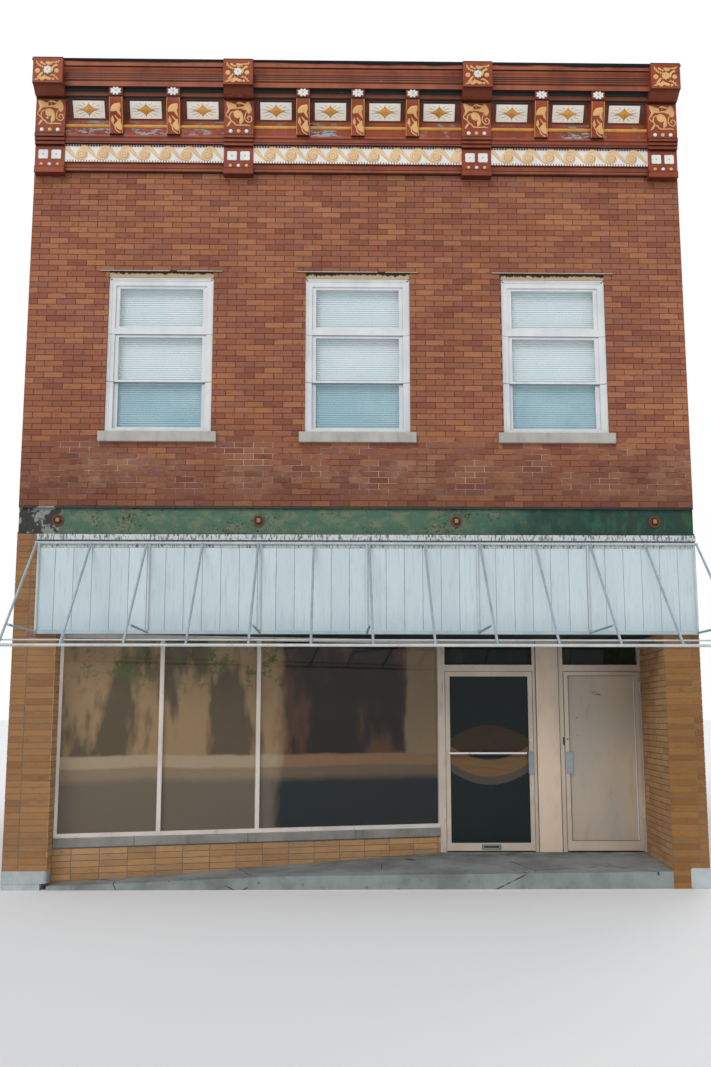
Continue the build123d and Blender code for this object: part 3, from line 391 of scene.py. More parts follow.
def board_finish():
    """Pale board paint, thin along the grain."""
    f = Finish("board_paint", roughness=0.7, specular=0.25)
    base = f.mix(f.attribute("tone"), tint(198, 213, 218), tint(206, 219, 223))
    grain = f.noise(38, 6, 0.72, (1, 1, 0.06))
    base = f.over(base, tint(166, 183, 189), f.band(grain, 0.5, 0.66), 0.5)
    # Painted shade: bluer grey towards the bottom of the boards
    low = f.band(f.axis(2), 3.05, 2.78)
    base = f.over(base, tint(160, 180, 190), low, 0.35)
    runs = f.band(f.noise(5, 5, 0.6, (1, 1, 0.12), shift=3), 0.5, 0.75)
    base = f.over(base, tint(146, 160, 164), runs, 0.2)
    speck = f.band(f.cells(34, shift=1), 0.07, 0.035)
    base = f.over(base, tint(110, 112, 108), speck, f.band(f.noise(3, 3, 0.5), 0.5, 0.7))
    f.colour(base)
    f.bump(grain, 0.001, 0.5)
    return f.material


def peeled_finish():
    """Grey wood with upright flakes of pale paint and black streaks."""
    f = Finish("peeled_wood", roughness=0.85, specular=0.2)
    wood = f.mix(f.noise(60, 6, 0.7, (1, 1, 0.1)), tint(84, 82, 80), tint(134, 132, 128))
    flake = f.band(f.noise(52, 7, 0.75, (1, 1, 0.22), shift=2), 0.41, 0.47)
    pale = f.mix(flake, wood, tint(196, 204, 204))
    streak = f.band(f.noise(42, 6, 0.72, (1, 1, 0.2), shift=6), 0.57, 0.62)
    wide = f.band(f.noise(2.6, 4, 0.6, shift=9), 0.4, 0.56)
    f.colour(f.over(pale, tint(46, 44, 42), streak, wide))
    f.bump(f.plus(flake, f.noise(90, 4, 0.7, (1, 1, 0.2))), 0.0015, 0.7)
    return f.material


def trim_finish():
    """Pale paint on the rail under the boards and on the peeling cap over them."""
    f = Finish("band_trim_paint", roughness=0.6, specular=0.3)
    pale = f.mix(f.band(f.noise(2.2, 5, 0.6), 0.4, 0.65), tint(178, 192, 198), tint(162, 178, 186))
    worn = f.band(f.noise(44, 7, 0.74, (1, 1, 0.3), shift=6), 0.5, 0.56)
    cap = f.over(tint(196, 204, 204), tint(66, 64, 62), worn, 0.8)
    # Painted shadow: a dark line along the foot of the cap, under the awning rail
    cap = f.mix(f.band(f.axis(2), 3.773, 3.770), cap, tint(96, 104, 106))
    f.colour(f.mix(f.band(f.axis(2), 3.3, 3.5), pale, cap))
    f.bump(f.noise(60, 4, 0.7, (1, 1, 0.3)), 0.001, 0.5)
    return f.material


def aluminium_finish(name, base, shade, metallic=0.35, roughness=0.42):
    """Beige coated metal: soft brushing, chalking and a little dirt."""
    f = Finish(name, roughness=roughness, metallic=metallic, specular=0.45)
    tone = f.mix(f.band(f.noise(1.7, 5, 0.6), 0.35, 0.7), base, shade)
    brushed = f.noise(60, 3, 0.6, (1, 1, 0.03))
    tone = f.darken(tone, (0.72, 0.7, 0.68), brushed, 0.3)
    dirt = f.band(f.noise(8, 6, 0.7, (1, 1, 0.3), shift=6), 0.58, 0.75)
    f.colour(f.over(tone, tint(96, 82, 68), dirt, 0.45))
    f.rough(f.plus(roughness - 0.06, f.times(f.noise(14, 4, 0.6), 0.2)))
    f.bump(f.noise(5, 3, 0.5), 0.003, 0.35)
    return f.material


def door_sheet_finish(name, warm_reflection, cool_sheet):
    """Painted sheet metal, dented and rubbed, warmer on one side where a reflection is painted in."""
    f = Finish(name, roughness=0.42, metallic=0.2, specular=0.45)
    # Painted reflection: the sheet is warmer in broad patches
    tone = f.mix(f.band(f.noise(1.3, 4, 0.6, (1, 1, 0.4)), 0.35, 0.65), warm_reflection, cool_sheet)
    tone = f.darken(tone, (0.7, 0.7, 0.7), f.noise(50, 4, 0.7), 0.22)
    rub = f.band(f.noise(60, 7, 0.75, (1, 1, 0.6), shift=4), 0.68, 0.72)
    dirt = f.band(f.noise(3.5, 6, 0.7, (1.4, 1, 0.5), shift=5), 0.55, 0.75)
    tone = f.over(tone, tint(112, 102, 90), dirt, 0.22)
    tone = f.over(tone, tint(92, 88, 82), rub, 0.4)
    f.colour(tone)
    dents = f.band(f.cells(3.1, shift=2), 0.32, 0.0)
    f.bump(f.plus(f.times(f.noise(2.6, 3, 0.5), 1.2), dents), 0.006, 0.35)
    return f.material


def glass_finish(name, colour, alpha, film, specular=0.9):
    """Window glass with a thin uneven film of dust."""
    f = Finish(name, roughness=0.03, specular=specular)
    f.shader.inputs["Alpha"].default_value = alpha
    f.shader.inputs["IOR"].default_value = 1.5
    dust = f.band(f.noise(1.1, 5, 0.6, (1, 1, 0.6)), 0.35, 0.7)
    smear = f.band(f.noise(6, 4, 0.6, (1, 1, 0.2), shift=4), 0.5, 0.8)
    f.colour(f.over(colour, film, f.plus(dust, smear), 0.4))
    f.bump(f.noise(1.6, 2, 0.4), 0.002, 0.25)
    return f.material


def shop_glass_finish():
    """Old plate glass with a painted reflection of a sunlit street: fronts, a pale kerb and the road."""
    f = Finish("shop_glass", roughness=0.04, specular=0.3)
    f.shader.inputs["Alpha"].default_value = 0.93
    f.shader.inputs["IOR"].default_value = 1.5
    blocks = f.noise(1.5, 4, 0.55, (1.5, 0.2, 0.45), shift=3)
    leaves = f.band(f.noise(6.5, 7, 0.72, shift=1), 0.5, 0.62)
    high = f.band(f.axis(2), 1.95, 2.35)
    warm_reflection = f.mix(f.band(blocks, 0.44, 0.54), tint(96, 82, 62), tint(160, 132, 96))
    warm_reflection = f.over(warm_reflection, tint(94, 100, 52), leaves, high)
    dark = f.mix(f.band(blocks, 0.46, 0.6), tint(40, 32, 28), tint(92, 62, 44))
    far = f.plus(f.axis(0), f.times(f.noise(2.2, 4, 0.6, (1, 0.2, 0.3), shift=5), 0.5))
    right = f.band(far, -0.75, -0.6)
    fronts = f.mix(right, warm_reflection, dark)
    fronts = f.over(fronts, tint(150, 128, 96), f.band(far, 0.78, 0.86), 0.8)
    wave = f.times(f.noise(1.1, 4, 0.6, (1, 0.2, 1), shift=8), 0.12)
    level = f.plus(f.axis(2), wave)
    kerb = f.mix(right, tint(176, 156, 128), tint(140, 108, 78))
    road = f.mix(right, tint(146, 126, 104), tint(112, 92, 74))
    road = f.mix(f.band(level, 1.34, 1.3), kerb, road)
    low = f.mix(right, tint(114, 102, 88), tint(30, 40, 44))
    road = f.mix(f.band(level, 1.24, 1.12), road, low)
    # Painted reflection: fronts above, kerb and road below
    painted_street_reflection = f.mix(f.band(level, 1.48, 1.44), fronts, road)
    f.colour(f.darken(painted_street_reflection, (0.6, 0.58, 0.55), f.noise(9, 6, 0.7), 0.3))
    f.bump(f.noise(1.6, 2, 0.4), 0.002, 0.25)
    return f.material


def door_glass_finish():
    """Dark door glass with a painted reflection of a sunlit wall and kerb, bent into arcs."""
    f = Finish("door_glass", roughness=0.04, specular=0.15)
    f.shader.inputs["Alpha"].default_value = 0.95
    f.shader.inputs["IOR"].default_value = 1.5
    lo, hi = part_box("shop_door_glass")
    across = f.minus(f.axis(0), (lo.x + hi.x) / 2)
    arc = f.times(f.times(across, across), 0.7)
    above = f.plus(f.axis(2), arc)
    under = f.minus(f.axis(2), arc)
    # Its dark ground is painted shade of the room behind
    dark = f.mix(f.noise(2.2, 5, 0.6, (1, 1, 0.4)), tint(16, 26, 26), tint(38, 50, 50))
    wall = f.mix(f.noise(14, 5, 0.7, (0.3, 1, 1.4)), tint(44, 38, 30), tint(84, 66, 48))
    # Painted reflection of a wall and a kerb
    seen = f.over(dark, wall, f.band(above, 1.74, 1.71), f.band(above, 1.4, 1.43))
    kerb = f.mix(f.noise(26, 4, 0.6, (0.1, 1, 1)), tint(92, 76, 58), tint(150, 112, 74))
    inside = f.times(f.band(under, 1.01, 1.03), f.band(under, 1.33, 1.30))
    seen = f.mix(inside, seen, kerb)
    seen = f.over(seen, tint(88, 80, 72), f.band(under, 1.01, 1.03), f.band(under, 1.12, 1.1))
    f.colour(seen)
    f.bump(f.noise(1.6, 2, 0.4), 0.002, 0.25)
    return f.material


def blind_finish():
    """Pale slats, white behind the upper panes and blue green behind the lower sash."""
    f = Finish("blind_slats", roughness=0.55, specular=0.3)
    slat = f.mix(f.band(f.noise(1.4, 4, 0.6), 0.4, 0.65), tint(240, 250, 252), tint(248, 252, 253))
    teal = f.mix(f.band(f.noise(2.2, 4, 0.6, shift=2), 0.4, 0.65), tint(160, 198, 208), tint(178, 210, 218))
    slat = f.mix(f.band(f.axis(2), 5.66, 5.62), slat, teal)
    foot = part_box("window_blinds")[0].z
    # Painted shade in the gaps between the slats
    gap = f.band(f.ripple(f.minus(f.axis(2), foot), SLAT_PITCH / 2), 0.006, 0.002)
    slat = f.over(slat, tint(118, 156, 170), gap, 0.48)
    f.colour(f.darken(slat, (0.8, 0.84, 0.86), f.noise(12, 3, 0.6, (0.3, 1, 2)), 0.25))
    f.bump(f.noise(4, 2, 0.5), 0.0005, 0.2)
    return f.material


def roofing_finish(name, base, shade):
    """Mineral roofing felt with lapped strips."""
    f = Finish(name, roughness=0.92, specular=0.2)
    tone = f.mix(f.band(f.noise(0.8, 6, 0.65), 0.35, 0.7), base, shade)
    f.colour(f.darken(tone, (0.55, 0.55, 0.55), f.noise(300, 3, 0.8)))
    lap = f.band(f.ripple(f.axis(1), 0.5), 0.012, 0.0)
    f.bump(f.plus(lap, f.times(f.noise(240, 3, 0.8), 0.4)), 0.003, 0.6)
    return f.material


def wood_finish(name, base, shade):
    """Plain boards along the building, seen through the windows."""
    f = Finish(name, roughness=0.7, specular=0.3)
    grain = f.noise(16, 6, 0.7, (1, 0.05, 1))
    seam = f.band(f.ripple(f.axis(0), 0.06), 0.003, 0.0015)
    f.colour(f.mix(seam, f.mix(grain, base, shade), tint(40, 30, 22)))
    f.bump(f.minus(grain, seam), 0.001, 0.5)
    return f.material


red_brick = brick_finish(
    "red_brick", [tint(142, 88, 70), tint(160, 100, 76), tint(169, 110, 80), tint(180, 122, 88),
                  tint(152, 98, 82), tint(166, 110, 84)],
    (0.7, 0.6, 0.56), tint(176, 146, 124), (4.2, 4.85), 0.28)
plain_brick = brick_finish(
    "plain_brick", [tint(126, 76, 60), tint(152, 94, 72), tint(168, 108, 82), tint(142, 90, 76)],
    (0.66, 0.56, 0.52), tint(186, 168, 150), (0.0, 1.4), 0.4)
buff_brick = brick_finish(
    "buff_brick", [tint(150, 108, 72), tint(162, 118, 76), tint(172, 128, 84), tint(156, 116, 80)],
    (0.8, 0.72, 0.64), tint(120, 100, 84), (0.0, 0.75), 0.4, warm_from=3.0)
# Lighter buff for the faces in the recess: painted light against the shade under the soffit
lightened_inner_brick = brick_finish(
    "lightened_inner_buff_brick", [tint(184, 142, 100), tint(196, 152, 106), tint(208, 164, 116),
                         tint(190, 150, 110)],
    (0.82, 0.76, 0.68), tint(140, 120, 104), (0.0, 0.75), 0.4)
red_mortar = mortar_finish("dark_joints", tint(106, 74, 60), tint(228, 216, 202), (4.2, 5.05))
plain_mortar = mortar_finish("grey_joints", tint(132, 118, 104), tint(160, 148, 132))
buff_mortar = mortar_finish("fine_joints", tint(140, 138, 132), tint(160, 158, 152))
pale_stone = stone_finish("sill_stone", tint(190, 188, 180), tint(172, 170, 162), tint(138, 130, 120))
grey_stone = stone_finish("shopfront_stone", tint(160, 158, 152), tint(138, 136, 132), tint(108, 104, 98),
                          0.62)
foot_stone = stone_finish("foot_stone", tint(200, 208, 210), tint(176, 184, 186), tint(120, 118, 112))
floor_concrete = stone_finish("floor_concrete", tint(96, 92, 86), tint(80, 78, 74), tint(60, 58, 54))
entry_concrete = slab_finish()
green_beam = beam_finish()
rusty_iron = rust_finish("rusty_iron", tint(92, 50, 40), tint(148, 88, 68), tint(110, 84, 62))
dark_iron = rust_finish("dark_iron", tint(58, 34, 28), tint(96, 58, 46), tint(80, 60, 44))
nut_paint = rust_finish("nut_paint", tint(112, 122, 96), tint(150, 154, 122), tint(128, 104, 78))
lintel_iron = lintel_finish()
OXBLOOD = (tint(166, 92, 62), tint(142, 73, 50), tint(150, 164, 170))
BRACKET_RED = (tint(156, 74, 48), tint(132, 58, 36), tint(150, 164, 170))
# Colour of the painted shadow lines under the cornice's mouldings
PAINTED_SHADOW_DARK = tint(22, 10, 8)
BRACKET_PAINTED_SHADE = tint(108, 56, 36)
CORONA_PAINTED_SHADE = tint(112, 66, 46)
WORN_LIP_HIGHLIGHT = tint(186, 106, 72)
COVE_PAINT_AND_SHADE = tint(26, 34, 36)

# Levels of the painted shadow lines in the cornice's mouldings, as (low, high)
CROWN_SHADOW_LINES = ((9.341, 9.359), (9.276, 9.294), (9.254, 9.27), (9.228, 9.242))
CORONA_SHADOW_LINES = ((9.252, 9.27), (9.226, 9.243), (9.193, 9.21))
ARCHITRAVE_SHADOW_LINES = ((8.544, 8.569), (8.495, 8.512))
ARCHITRAVE_LOWEST_SHADOW = ((8.47, 8.485),)
BASE_SHADOW_LINES = ((8.243, 8.259), (8.197, 8.211), (8.155, 8.177))
BRACKET_SHADOW_LINES = ((9.089, 9.106), (9.014, 9.036), (8.572, 8.591), (8.534, 8.549), (8.494, 8.508),
                 (8.446, 8.466), (8.181, 8.199), (8.112, 8.12))
SMALL_BRACKET_TOP_SHADOW = ((9.012, 9.036),)
SMALL_BRACKET_FOOT_SHADOW = ((8.6, 8.612),)


def painted_shadow_lines(levels, share):
    """The painted shadow lines of a moulding, as tinted zones."""
    return [(PAINTED_SHADOW_DARK, (low, high, share)) for low, high in levels]


crown_paint = worn_paint("crown_paint", *OXBLOOD, 0.0, tinted=painted_shadow_lines(CROWN_SHADOW_LINES, 0.95))
# Painted shade on the corona: its cove is dark paint deepened by painted shade, and its lowest part, above
# the plates, takes painted shade
corona_paint = worn_paint(
    "corona_paint", *OXBLOOD, 0.06,
    tinted=[(COVE_PAINT_AND_SHADE, (9.099, 9.1375, 1.0)), (CORONA_PAINTED_SHADE, (9.05, 9.1, 0.75)),
            *painted_shadow_lines(CORONA_SHADOW_LINES, 1.0)])
# The architrave's lip takes a painted highlight over its worn paint
architrave_paint = worn_paint(
    "architrave_paint", *BRACKET_RED, 0.05, flaky=((8.606, 8.69, 1.0),),
    tinted=[*painted_shadow_lines(ARCHITRAVE_SHADOW_LINES, 0.9), *painted_shadow_lines(ARCHITRAVE_LOWEST_SHADOW, 0.95),
            (WORN_LIP_HIGHLIGHT, (8.592, 8.608, 0.8))])
base_paint = worn_paint("cornice_base_paint", *OXBLOOD, 0.02, tinted=painted_shadow_lines(BASE_SHADOW_LINES, 0.8))
# Painted shade on the moulding under each big bracket's top block, also on the lower part of the small
# brackets' caps
bracket_paint = worn_paint(
    "bracket_paint", *BRACKET_RED, 0.04,
    tinted=[*painted_shadow_lines(BRACKET_SHADOW_LINES, 0.85), (BRACKET_PAINTED_SHADE, (9.03, 9.101, 0.75))])
small_bracket_paint = worn_paint("small_bracket_paint", *BRACKET_RED, 0.0,
                                 tinted=[*painted_shadow_lines(SMALL_BRACKET_TOP_SHADOW, 0.9),
                                         *painted_shadow_lines(SMALL_BRACKET_FOOT_SHADOW, 0.8)])
# Dark brown paint darkened further as painted shade under the corona; the band from 9.026 to 9.06 under the
# cove is painted shade
dark_panel_and_shade = worn_paint("dark_panel_paint", tint(124, 68, 54), tint(96, 54, 46), tint(140, 150, 154), -0.04,
                        tinted=((OXBLOOD[1], (8.7, 8.85, 1.0)), (tint(30, 34, 34), (9.026, 9.06, 1.0))),
                        flaky=((8.742, 8.815, 0.9),))
cream = worn_paint("cream_paint", tint(252, 248, 238), tint(244, 238, 226), tint(36, 34, 34), 0.03, 0.55,
                   runs=0.05, size=1.6)
# The rays are painted a darker tan, which stands for their shade
ray_painted_shade = worn_paint("ray_painted_shade", tint(206, 186, 156), tint(192, 172, 142), tint(60, 56, 52), 0.0, 0.55,
                       runs=0.1, size=1.6)
ochre_rod = worn_paint("ochre_rod_paint", tint(226, 168, 84), tint(210, 150, 70), tint(120, 70, 48), -0.04)
star_ochre = worn_paint("star_paint", tint(222, 166, 84), tint(206, 148, 70), tint(140, 90, 50), -0.08)
star_rim = worn_paint("star_rim_paint", tint(176, 124, 62), tint(160, 110, 56), tint(120, 80, 44), -0.08)
relief_ochre = worn_paint("ochre_relief_paint", tint(234, 186, 126), tint(222, 172, 112),
                          tint(150, 96, 70), -0.08, runs=0.15, size=1.5)
scroll_ochre = worn_paint("scroll_paint", tint(238, 206, 164), tint(226, 192, 148),
                          tint(150, 96, 70), -0.06, runs=0.15, size=1.5)
relief_white = worn_paint("white_relief_paint", tint(236, 238, 236), tint(222, 226, 226),
                          tint(140, 96, 78), -0.08, runs=0.1, size=1.5)
frieze_white = worn_paint("frieze_white_paint", tint(238, 240, 236), tint(226, 228, 226),
                          tint(48, 44, 42), 0.0, runs=0.15, size=1.5)
tooth_paint = worn_paint("tooth_paint", tint(150, 66, 46), tint(124, 54, 38), tint(120, 80, 60), -0.05)
heart_paint = worn_paint("heart_paint", tint(214, 156, 120), tint(204, 170, 110), tint(150, 96, 70), -0.08)
white_boards = board_finish()
peeled_wood = peeled_finish()
band_trim = trim_finish()
pipe_paint = worn_paint("pipe_paint", tint(178, 196, 204), tint(156, 178, 188), tint(132, 100, 74), -0.03,
                        0.45, 0.3, 0.2, 2.0)
post_paint = worn_paint("post_paint", tint(204, 212, 214), tint(190, 200, 204), tint(132, 100, 74), -0.05,
                        0.5, 0.1, 0.2, 2.0)
beige_aluminium = aluminium_finish("beige_aluminium", tint(214, 200, 184), tint(198, 184, 168))
pale_aluminium = aluminium_finish("pale_aluminium", tint(232, 222, 214), tint(214, 204, 198))
pull_metal = aluminium_finish("pull_metal", tint(156, 168, 174), tint(132, 146, 152), 0.6, 0.36)
# Near white metal for the shop door's lock and push bar, and for painted highlight on the side door's bevel
bright_metal_and_highlight = aluminium_finish("bright_metal_and_highlight", tint(244, 244, 240), tint(232, 232, 228), 0.2, 0.3)
post_sheet = door_sheet_finish("post_sheet", tint(234, 212, 188), tint(208, 192, 174))
door_sheet = door_sheet_finish("door_sheet", tint(204, 186, 164), tint(186, 178, 166))
shop_glass = shop_glass_finish()
door_glass = door_glass_finish()
# Nearly opaque dark glass: painted shade of the rooms behind the transoms
transom_glass = glass_finish("transom_glass", tint(32, 38, 36), 0.94, tint(62, 68, 46), 0.12)
pane_glass = glass_finish("pane_glass", tint(200, 220, 226), 0.1, tint(220, 232, 236))
rear_glass = glass_finish("rear_glass", tint(60, 68, 70), 0.84, tint(90, 98, 100))
# Its level zones are painted shadow lines: under the meeting rail, with its weather strip, under the
# transom bar, and at the foot of the frame
white_frame = worn_paint("white_frame", tint(230, 232, 232), tint(216, 220, 224), tint(160, 152, 140),
                         -0.1, 0.4, 0.0, 0.12, tinted=(
                             (tint(120, 128, 134), (5.622, 5.636, 0.8)),
                             (tint(140, 146, 152), (6.192, 6.203, 0.7)),
                             (tint(160, 164, 172), (5.028, 5.036, 0.5))))
blind_slats = blind_finish()
roofing = roofing_finish("roofing_felt", tint(70, 70, 70), tint(54, 54, 56))
flashing = roofing_finish("black_flashing", tint(30, 40, 44), tint(18, 24, 28))
coping_tile = stone_finish("coping_tile", tint(150, 104, 80), tint(128, 84, 64), tint(90, 66, 54))
timber_floor = wood_finish("timber_floor", tint(128, 98, 70), tint(104, 78, 54))
# Near black boards: painted shade under the sign band
soffit_painted_shade = wood_finish("soffit_boards", tint(40, 44, 44), tint(28, 32, 32))
# Black seals, also used for painted shade: gaps by the post, the letter slot and round the side door's
# sheet
dark_rubber_and_shade = worn_paint("black_rubber_and_painted_shade", tint(30, 30, 32), tint(40, 40, 42), tint(70, 68, 66), -0.1, 0.6)


# Mesh helpers


class Shape:
    """Points and faces gathered for one piece, with a tone for each part of it."""

    def __init__(self):
        self.points = []
        self.faces = []
        self.tones = []

    def add(self, points, faces, tone=0.5):
        start = len(self.points)
        self.points.extend(points)
        self.faces.extend([tuple(start + i for i in face) for face in faces])
        self.tones.extend([tone] * len(points))

    def piece(self, name, finish, slot, body="building", stands_for=(), smooth=None):
        mesh = bpy.data.meshes.new(name)
        mesh.from_pydata(self.points, [], self.faces)
        mesh.attributes.new("tone", "FLOAT", "POINT").data.foreach_set("value", self.tones)
        mesh.materials.append(finish)
        if smooth:
            mesh.shade_smooth()
            mesh.set_sharp_from_angle(angle=math.radians(smooth))
        return place_piece(name, mesh, body, stands_for)


def place_piece(name, mesh, body, stands_for):
    """Put a mesh in the scene as a piece that moves with a body."""
    thing = bpy.data.objects.new(name, mesh)
    bpy.context.scene.collection.objects.link(thing)
    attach(thing, body)
    if stands_for:
        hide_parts(*stands_for)
    return thing


class Face:
    """A flat face: a corner, a direction along it, one up it, and the side it looks to."""

    def __init__(self, corner, along, upward=UP):
        self.corner = Vector(corner)
        self.along = Vector(along).normalized()
        self.upward = Vector(upward).normalized()
        self.out = self.along.cross(self.upward)

    def point(self, u, w, d):
        return tuple(self.corner + self.along * u + self.upward * w + self.out * d)

    def span(self, box):
        """A node's box as a rectangle on this face."""
        ends = sorted((corner - self.corner).dot(self.along) for corner in box)
        return (ends[0], ends[1], box[0].z - self.corner.z, box[1].z - self.corner.z)


def islands(node):
    """The box of each separate solid in a CAD node, from left to right."""
    mesh = nodes[node].data
    keys = {}
    owner = []
    for vertex in mesh.vertices:
        key = tuple(round(c, 5) for c in vertex.co)
        owner.append(keys.setdefault(key, len(keys)))
    parent = list(range(len(keys)))

    def root(i):
        while parent[i] != i:
            parent[i] = parent[parent[i]]
            i = parent[i]
        return i

    for polygon in mesh.polygons:
        first = root(owner[polygon.vertices[0]])
        for other in polygon.vertices[1:]:
            parent[root(owner[other])] = first
    groups = {}
    for key, index in keys.items():
        groups.setdefault(root(index), []).append(key)
    boxes = []
    for points in groups.values():
        spread = np.array(points)
        boxes.append((Vector(spread.min(0)), Vector(spread.max(0))))
    return sorted(boxes, key=lambda box: (round(box[0].x, 3), box[0].z))


def recessed(node, faces, finish, depth=JOINT_DEPTH):
    """A copy of a wall whose brick faces are set back to the mortar."""
    mesh = nodes[node].data.copy()
    mesh.name = node + "_mortar"
    for vertex in mesh.vertices:
        shift = Vector((0, 0, 0))
        for face in faces:
            if abs((vertex.co - face.corner).dot(face.out)) < FLAT:
                shift -= face.out * depth
        vertex.co += shift
    mesh.materials.clear()
    mesh.materials.append(finish)
    return place_piece(node + "_mortar", mesh, "building", (node,))


def left_over(rect, holes):
    """What stays of a rectangle when the holes are taken out of it."""
    parts = [rect]
    for h0, h1, g0, g1 in holes:
        rest = []
        for u0, u1, w0, w1 in parts:
            if h0 >= u1 or h1 <= u0 or g0 >= w1 or g1 <= w0:
                rest.append((u0, u1, w0, w1))
                continue
            rest.append((u0, min(u1, h0), w0, w1))
            rest.append((max(u0, h1), u1, w0, w1))
            rest.append((max(u0, h0), min(u1, h1), w0, min(w1, g0)))
            rest.append((max(u0, h0), min(u1, h1), max(w0, g1), w1))
        parts = [p for p in rest if p[1] - p[0] > LEAST_PIECE and p[3] - p[2] > LEAST_PIECE]
    return parts


def add_brick(shape, face, rect, tone, sink):
    """One brick from the mortar to the wall's face, with rubbed edges."""
    u0, u1, w0, w1 = rect
    ring = ((u0, w0), (u1, w0), (u1, w1), (u0, w1))
    inner = ((u0 + CHAMFER, w0 + CHAMFER), (u1 - CHAMFER, w0 + CHAMFER),
             (u1 - CHAMFER, w1 - CHAMFER), (u0 + CHAMFER, w1 - CHAMFER))
    points = [face.point(u, w, -JOINT_DEPTH - BRICK_LAP) for u, w in ring]
    points += [face.point(u, w, -sink - CHAMFER) for u, w in ring]
    points += [face.point(u, w, -sink) for u, w in inner]
    faces = [(8, 9, 10, 11)]
    for base in (0, 4):
        for i in range(4):
            j = (i + 1) % 4
            faces.append((base + i, base + j, base + 4 + j, base + 4 + i))
    shape.add(points, faces, tone)


def lay_bricks(shape, face, width, top, holes, brick, joints, seed, bottom=0.0, stack=False, headers=0,
               first=0.0):
    """Lay courses over a face, cutting bricks at its ends and at its holes."""
    rng = np.random.default_rng(seed)
    row = 0
    while bottom + row * (brick[1] + joints[1]) < top:
        low = bottom + row * (brick[1] + joints[1])
        high = min(low + brick[1], top)
        header = headers and row % headers == headers - 1
        step = (brick[0] + joints[0]) / (2 if header else 1)
        shift = 0.25 * step if header else 0.5 * step * (row % 2)
        u = first if stack else first - step + shift
        while u < width:
            rect = (max(u, 0), min(u + step - joints[0], width), low, high)
            if rect[1] - rect[0] > LEAST_PIECE and rect[3] - rect[2] > LEAST_PIECE:
                for part in left_over(rect, holes):
                    add_brick(shape, face, part, rng.random(), rng.random() * BRICK_SINK)
            u += step
        row += 1


def add_box(shape, lo, hi, chamfer=0.0, tone=0.5):
    """A box between two corners, with all edges rubbed by the chamfer."""
    lo, hi = Vector(lo), Vector(hi)
    middle = (lo + hi) / 2
    half = (hi - lo) / 2
    signs = [(x, y, z) for x in (-1, 1) for y in (-1, 1) for z in (-1, 1)]
    if chamfer <= 0:
        points = [tuple(middle + Vector((half.x * x, half.y * y, half.z * z))) for x, y, z in signs]
        faces = [(0, 1, 3, 2), (4, 6, 7, 5), (0, 4, 5, 1), (2, 3, 7, 6), (0, 2, 6, 4), (1, 5, 7, 3)]
        shape.add(points, faces, tone)
        return
    index = {}
    points = []
    for sign in signs:
        for axis in range(3):
            reach = [h - chamfer for h in half]
            reach[axis] = half[axis]
            index[sign, axis] = len(points)
            points.append(tuple(middle[i] + sign[i] * reach[i] for i in range(3)))
    faces = []
    for axis in range(3):
        a, b = [i for i in range(3) if i != axis]
        for side in (-1, 1):
            loop = []
            for da, db in ((-1, -1), (1, -1), (1, 1), (-1, 1)):
                sign = [0, 0, 0]
                sign[axis], sign[a], sign[b] = side, da, db
                loop.append(index[tuple(sign), axis])
            turned = (side > 0) == (axis != 1)
            faces.append(tuple(loop) if turned else tuple(reversed(loop)))
        for da in (-1, 1):
            for db in (-1, 1):
                near = [0, 0, 0]
                near[axis], near[a], near[b] = -1, da, db
                far = list(near)
                far[axis] = 1
                near, far = tuple(near), tuple(far)
                quad = (index[near, a], index[far, a], index[far, b], index[near, b])
                turned = (da * db > 0) == (axis != 1)
                faces.append(quad if turned else tuple(reversed(quad)))
    for sign in signs:
        corner = tuple(index[sign, axis] for axis in range(3))
        faces.append(corner if sign[0] * sign[1] * sign[2] > 0 else tuple(reversed(corner)))
    shape.add(points, faces, tone)


def add_tube(shape, start, end, radius):
    """A short round bar with closed ends."""
    start, end = Vector(start), Vector(end)
    along = (end - start).normalized()
    side = along.orthogonal().normalized()
    other = along.cross(side)
    points = []
    for centre in (start, end):
        for i in range(TUBE_SIDES):
            turn = 2 * math.pi * i / TUBE_SIDES
            points.append(tuple(centre + (side * math.cos(turn) + other * math.sin(turn)) * radius))
    faces = [(i, (i + 1) % TUBE_SIDES, TUBE_SIDES + (i + 1) % TUBE_SIDES,
              TUBE_SIDES + i) for i in range(TUBE_SIDES)]
    faces.append(tuple(reversed(range(TUBE_SIDES))))
    faces.append(tuple(range(TUBE_SIDES, 2 * TUBE_SIDES)))
    shape.add(points, faces)


def soften(node, width):
    """Round the edges of a CAD node by modifiers, which leave its mesh as it is."""
    thing = nodes[node]
    weld = thing.modifiers.new("weld", "WELD")
    weld.merge_threshold = FLAT
    bevel = thing.modifiers.new("edges", "BEVEL")
    bevel.width = width
    bevel.segments = 2
    bevel.limit_method = "ANGLE"
    bevel.angle_limit = math.radians(40)
    bevel.harden_normals = False


def paint(finish, *names):
    """Give CAD nodes their finish."""
    for name in names:
        thing = nodes[name]
        thing.data.materials.clear()
        thing.data.materials.append(finish)


# Reliefs: domed shapes and ribbons pressed out of a flat face


def smooth_line(points, steps):
    """A smooth line through given points, as a Catmull-Rom curve; extra columns are carried."""
    pts = np.array(points, float)
    ends = np.vstack([2 * pts[0] - pts[1], pts, 2 * pts[-1] - pts[-2]])
    line = []
    for i in range(1, len(ends) - 2):
        p0, p1, p2, p3 = ends[i - 1:i + 3]
        for k in range(steps):
            t = k / steps
            line.append(0.5 * (2 * p1 + (p2 - p0) * t + (2 * p0 - 5 * p1 + 4 * p2 - p3) * t * t
                               + (3 * p1 - p0 - 3 * p2 + p3) * t ** 3))
    line.append(pts[-1])
    return np.array(line)


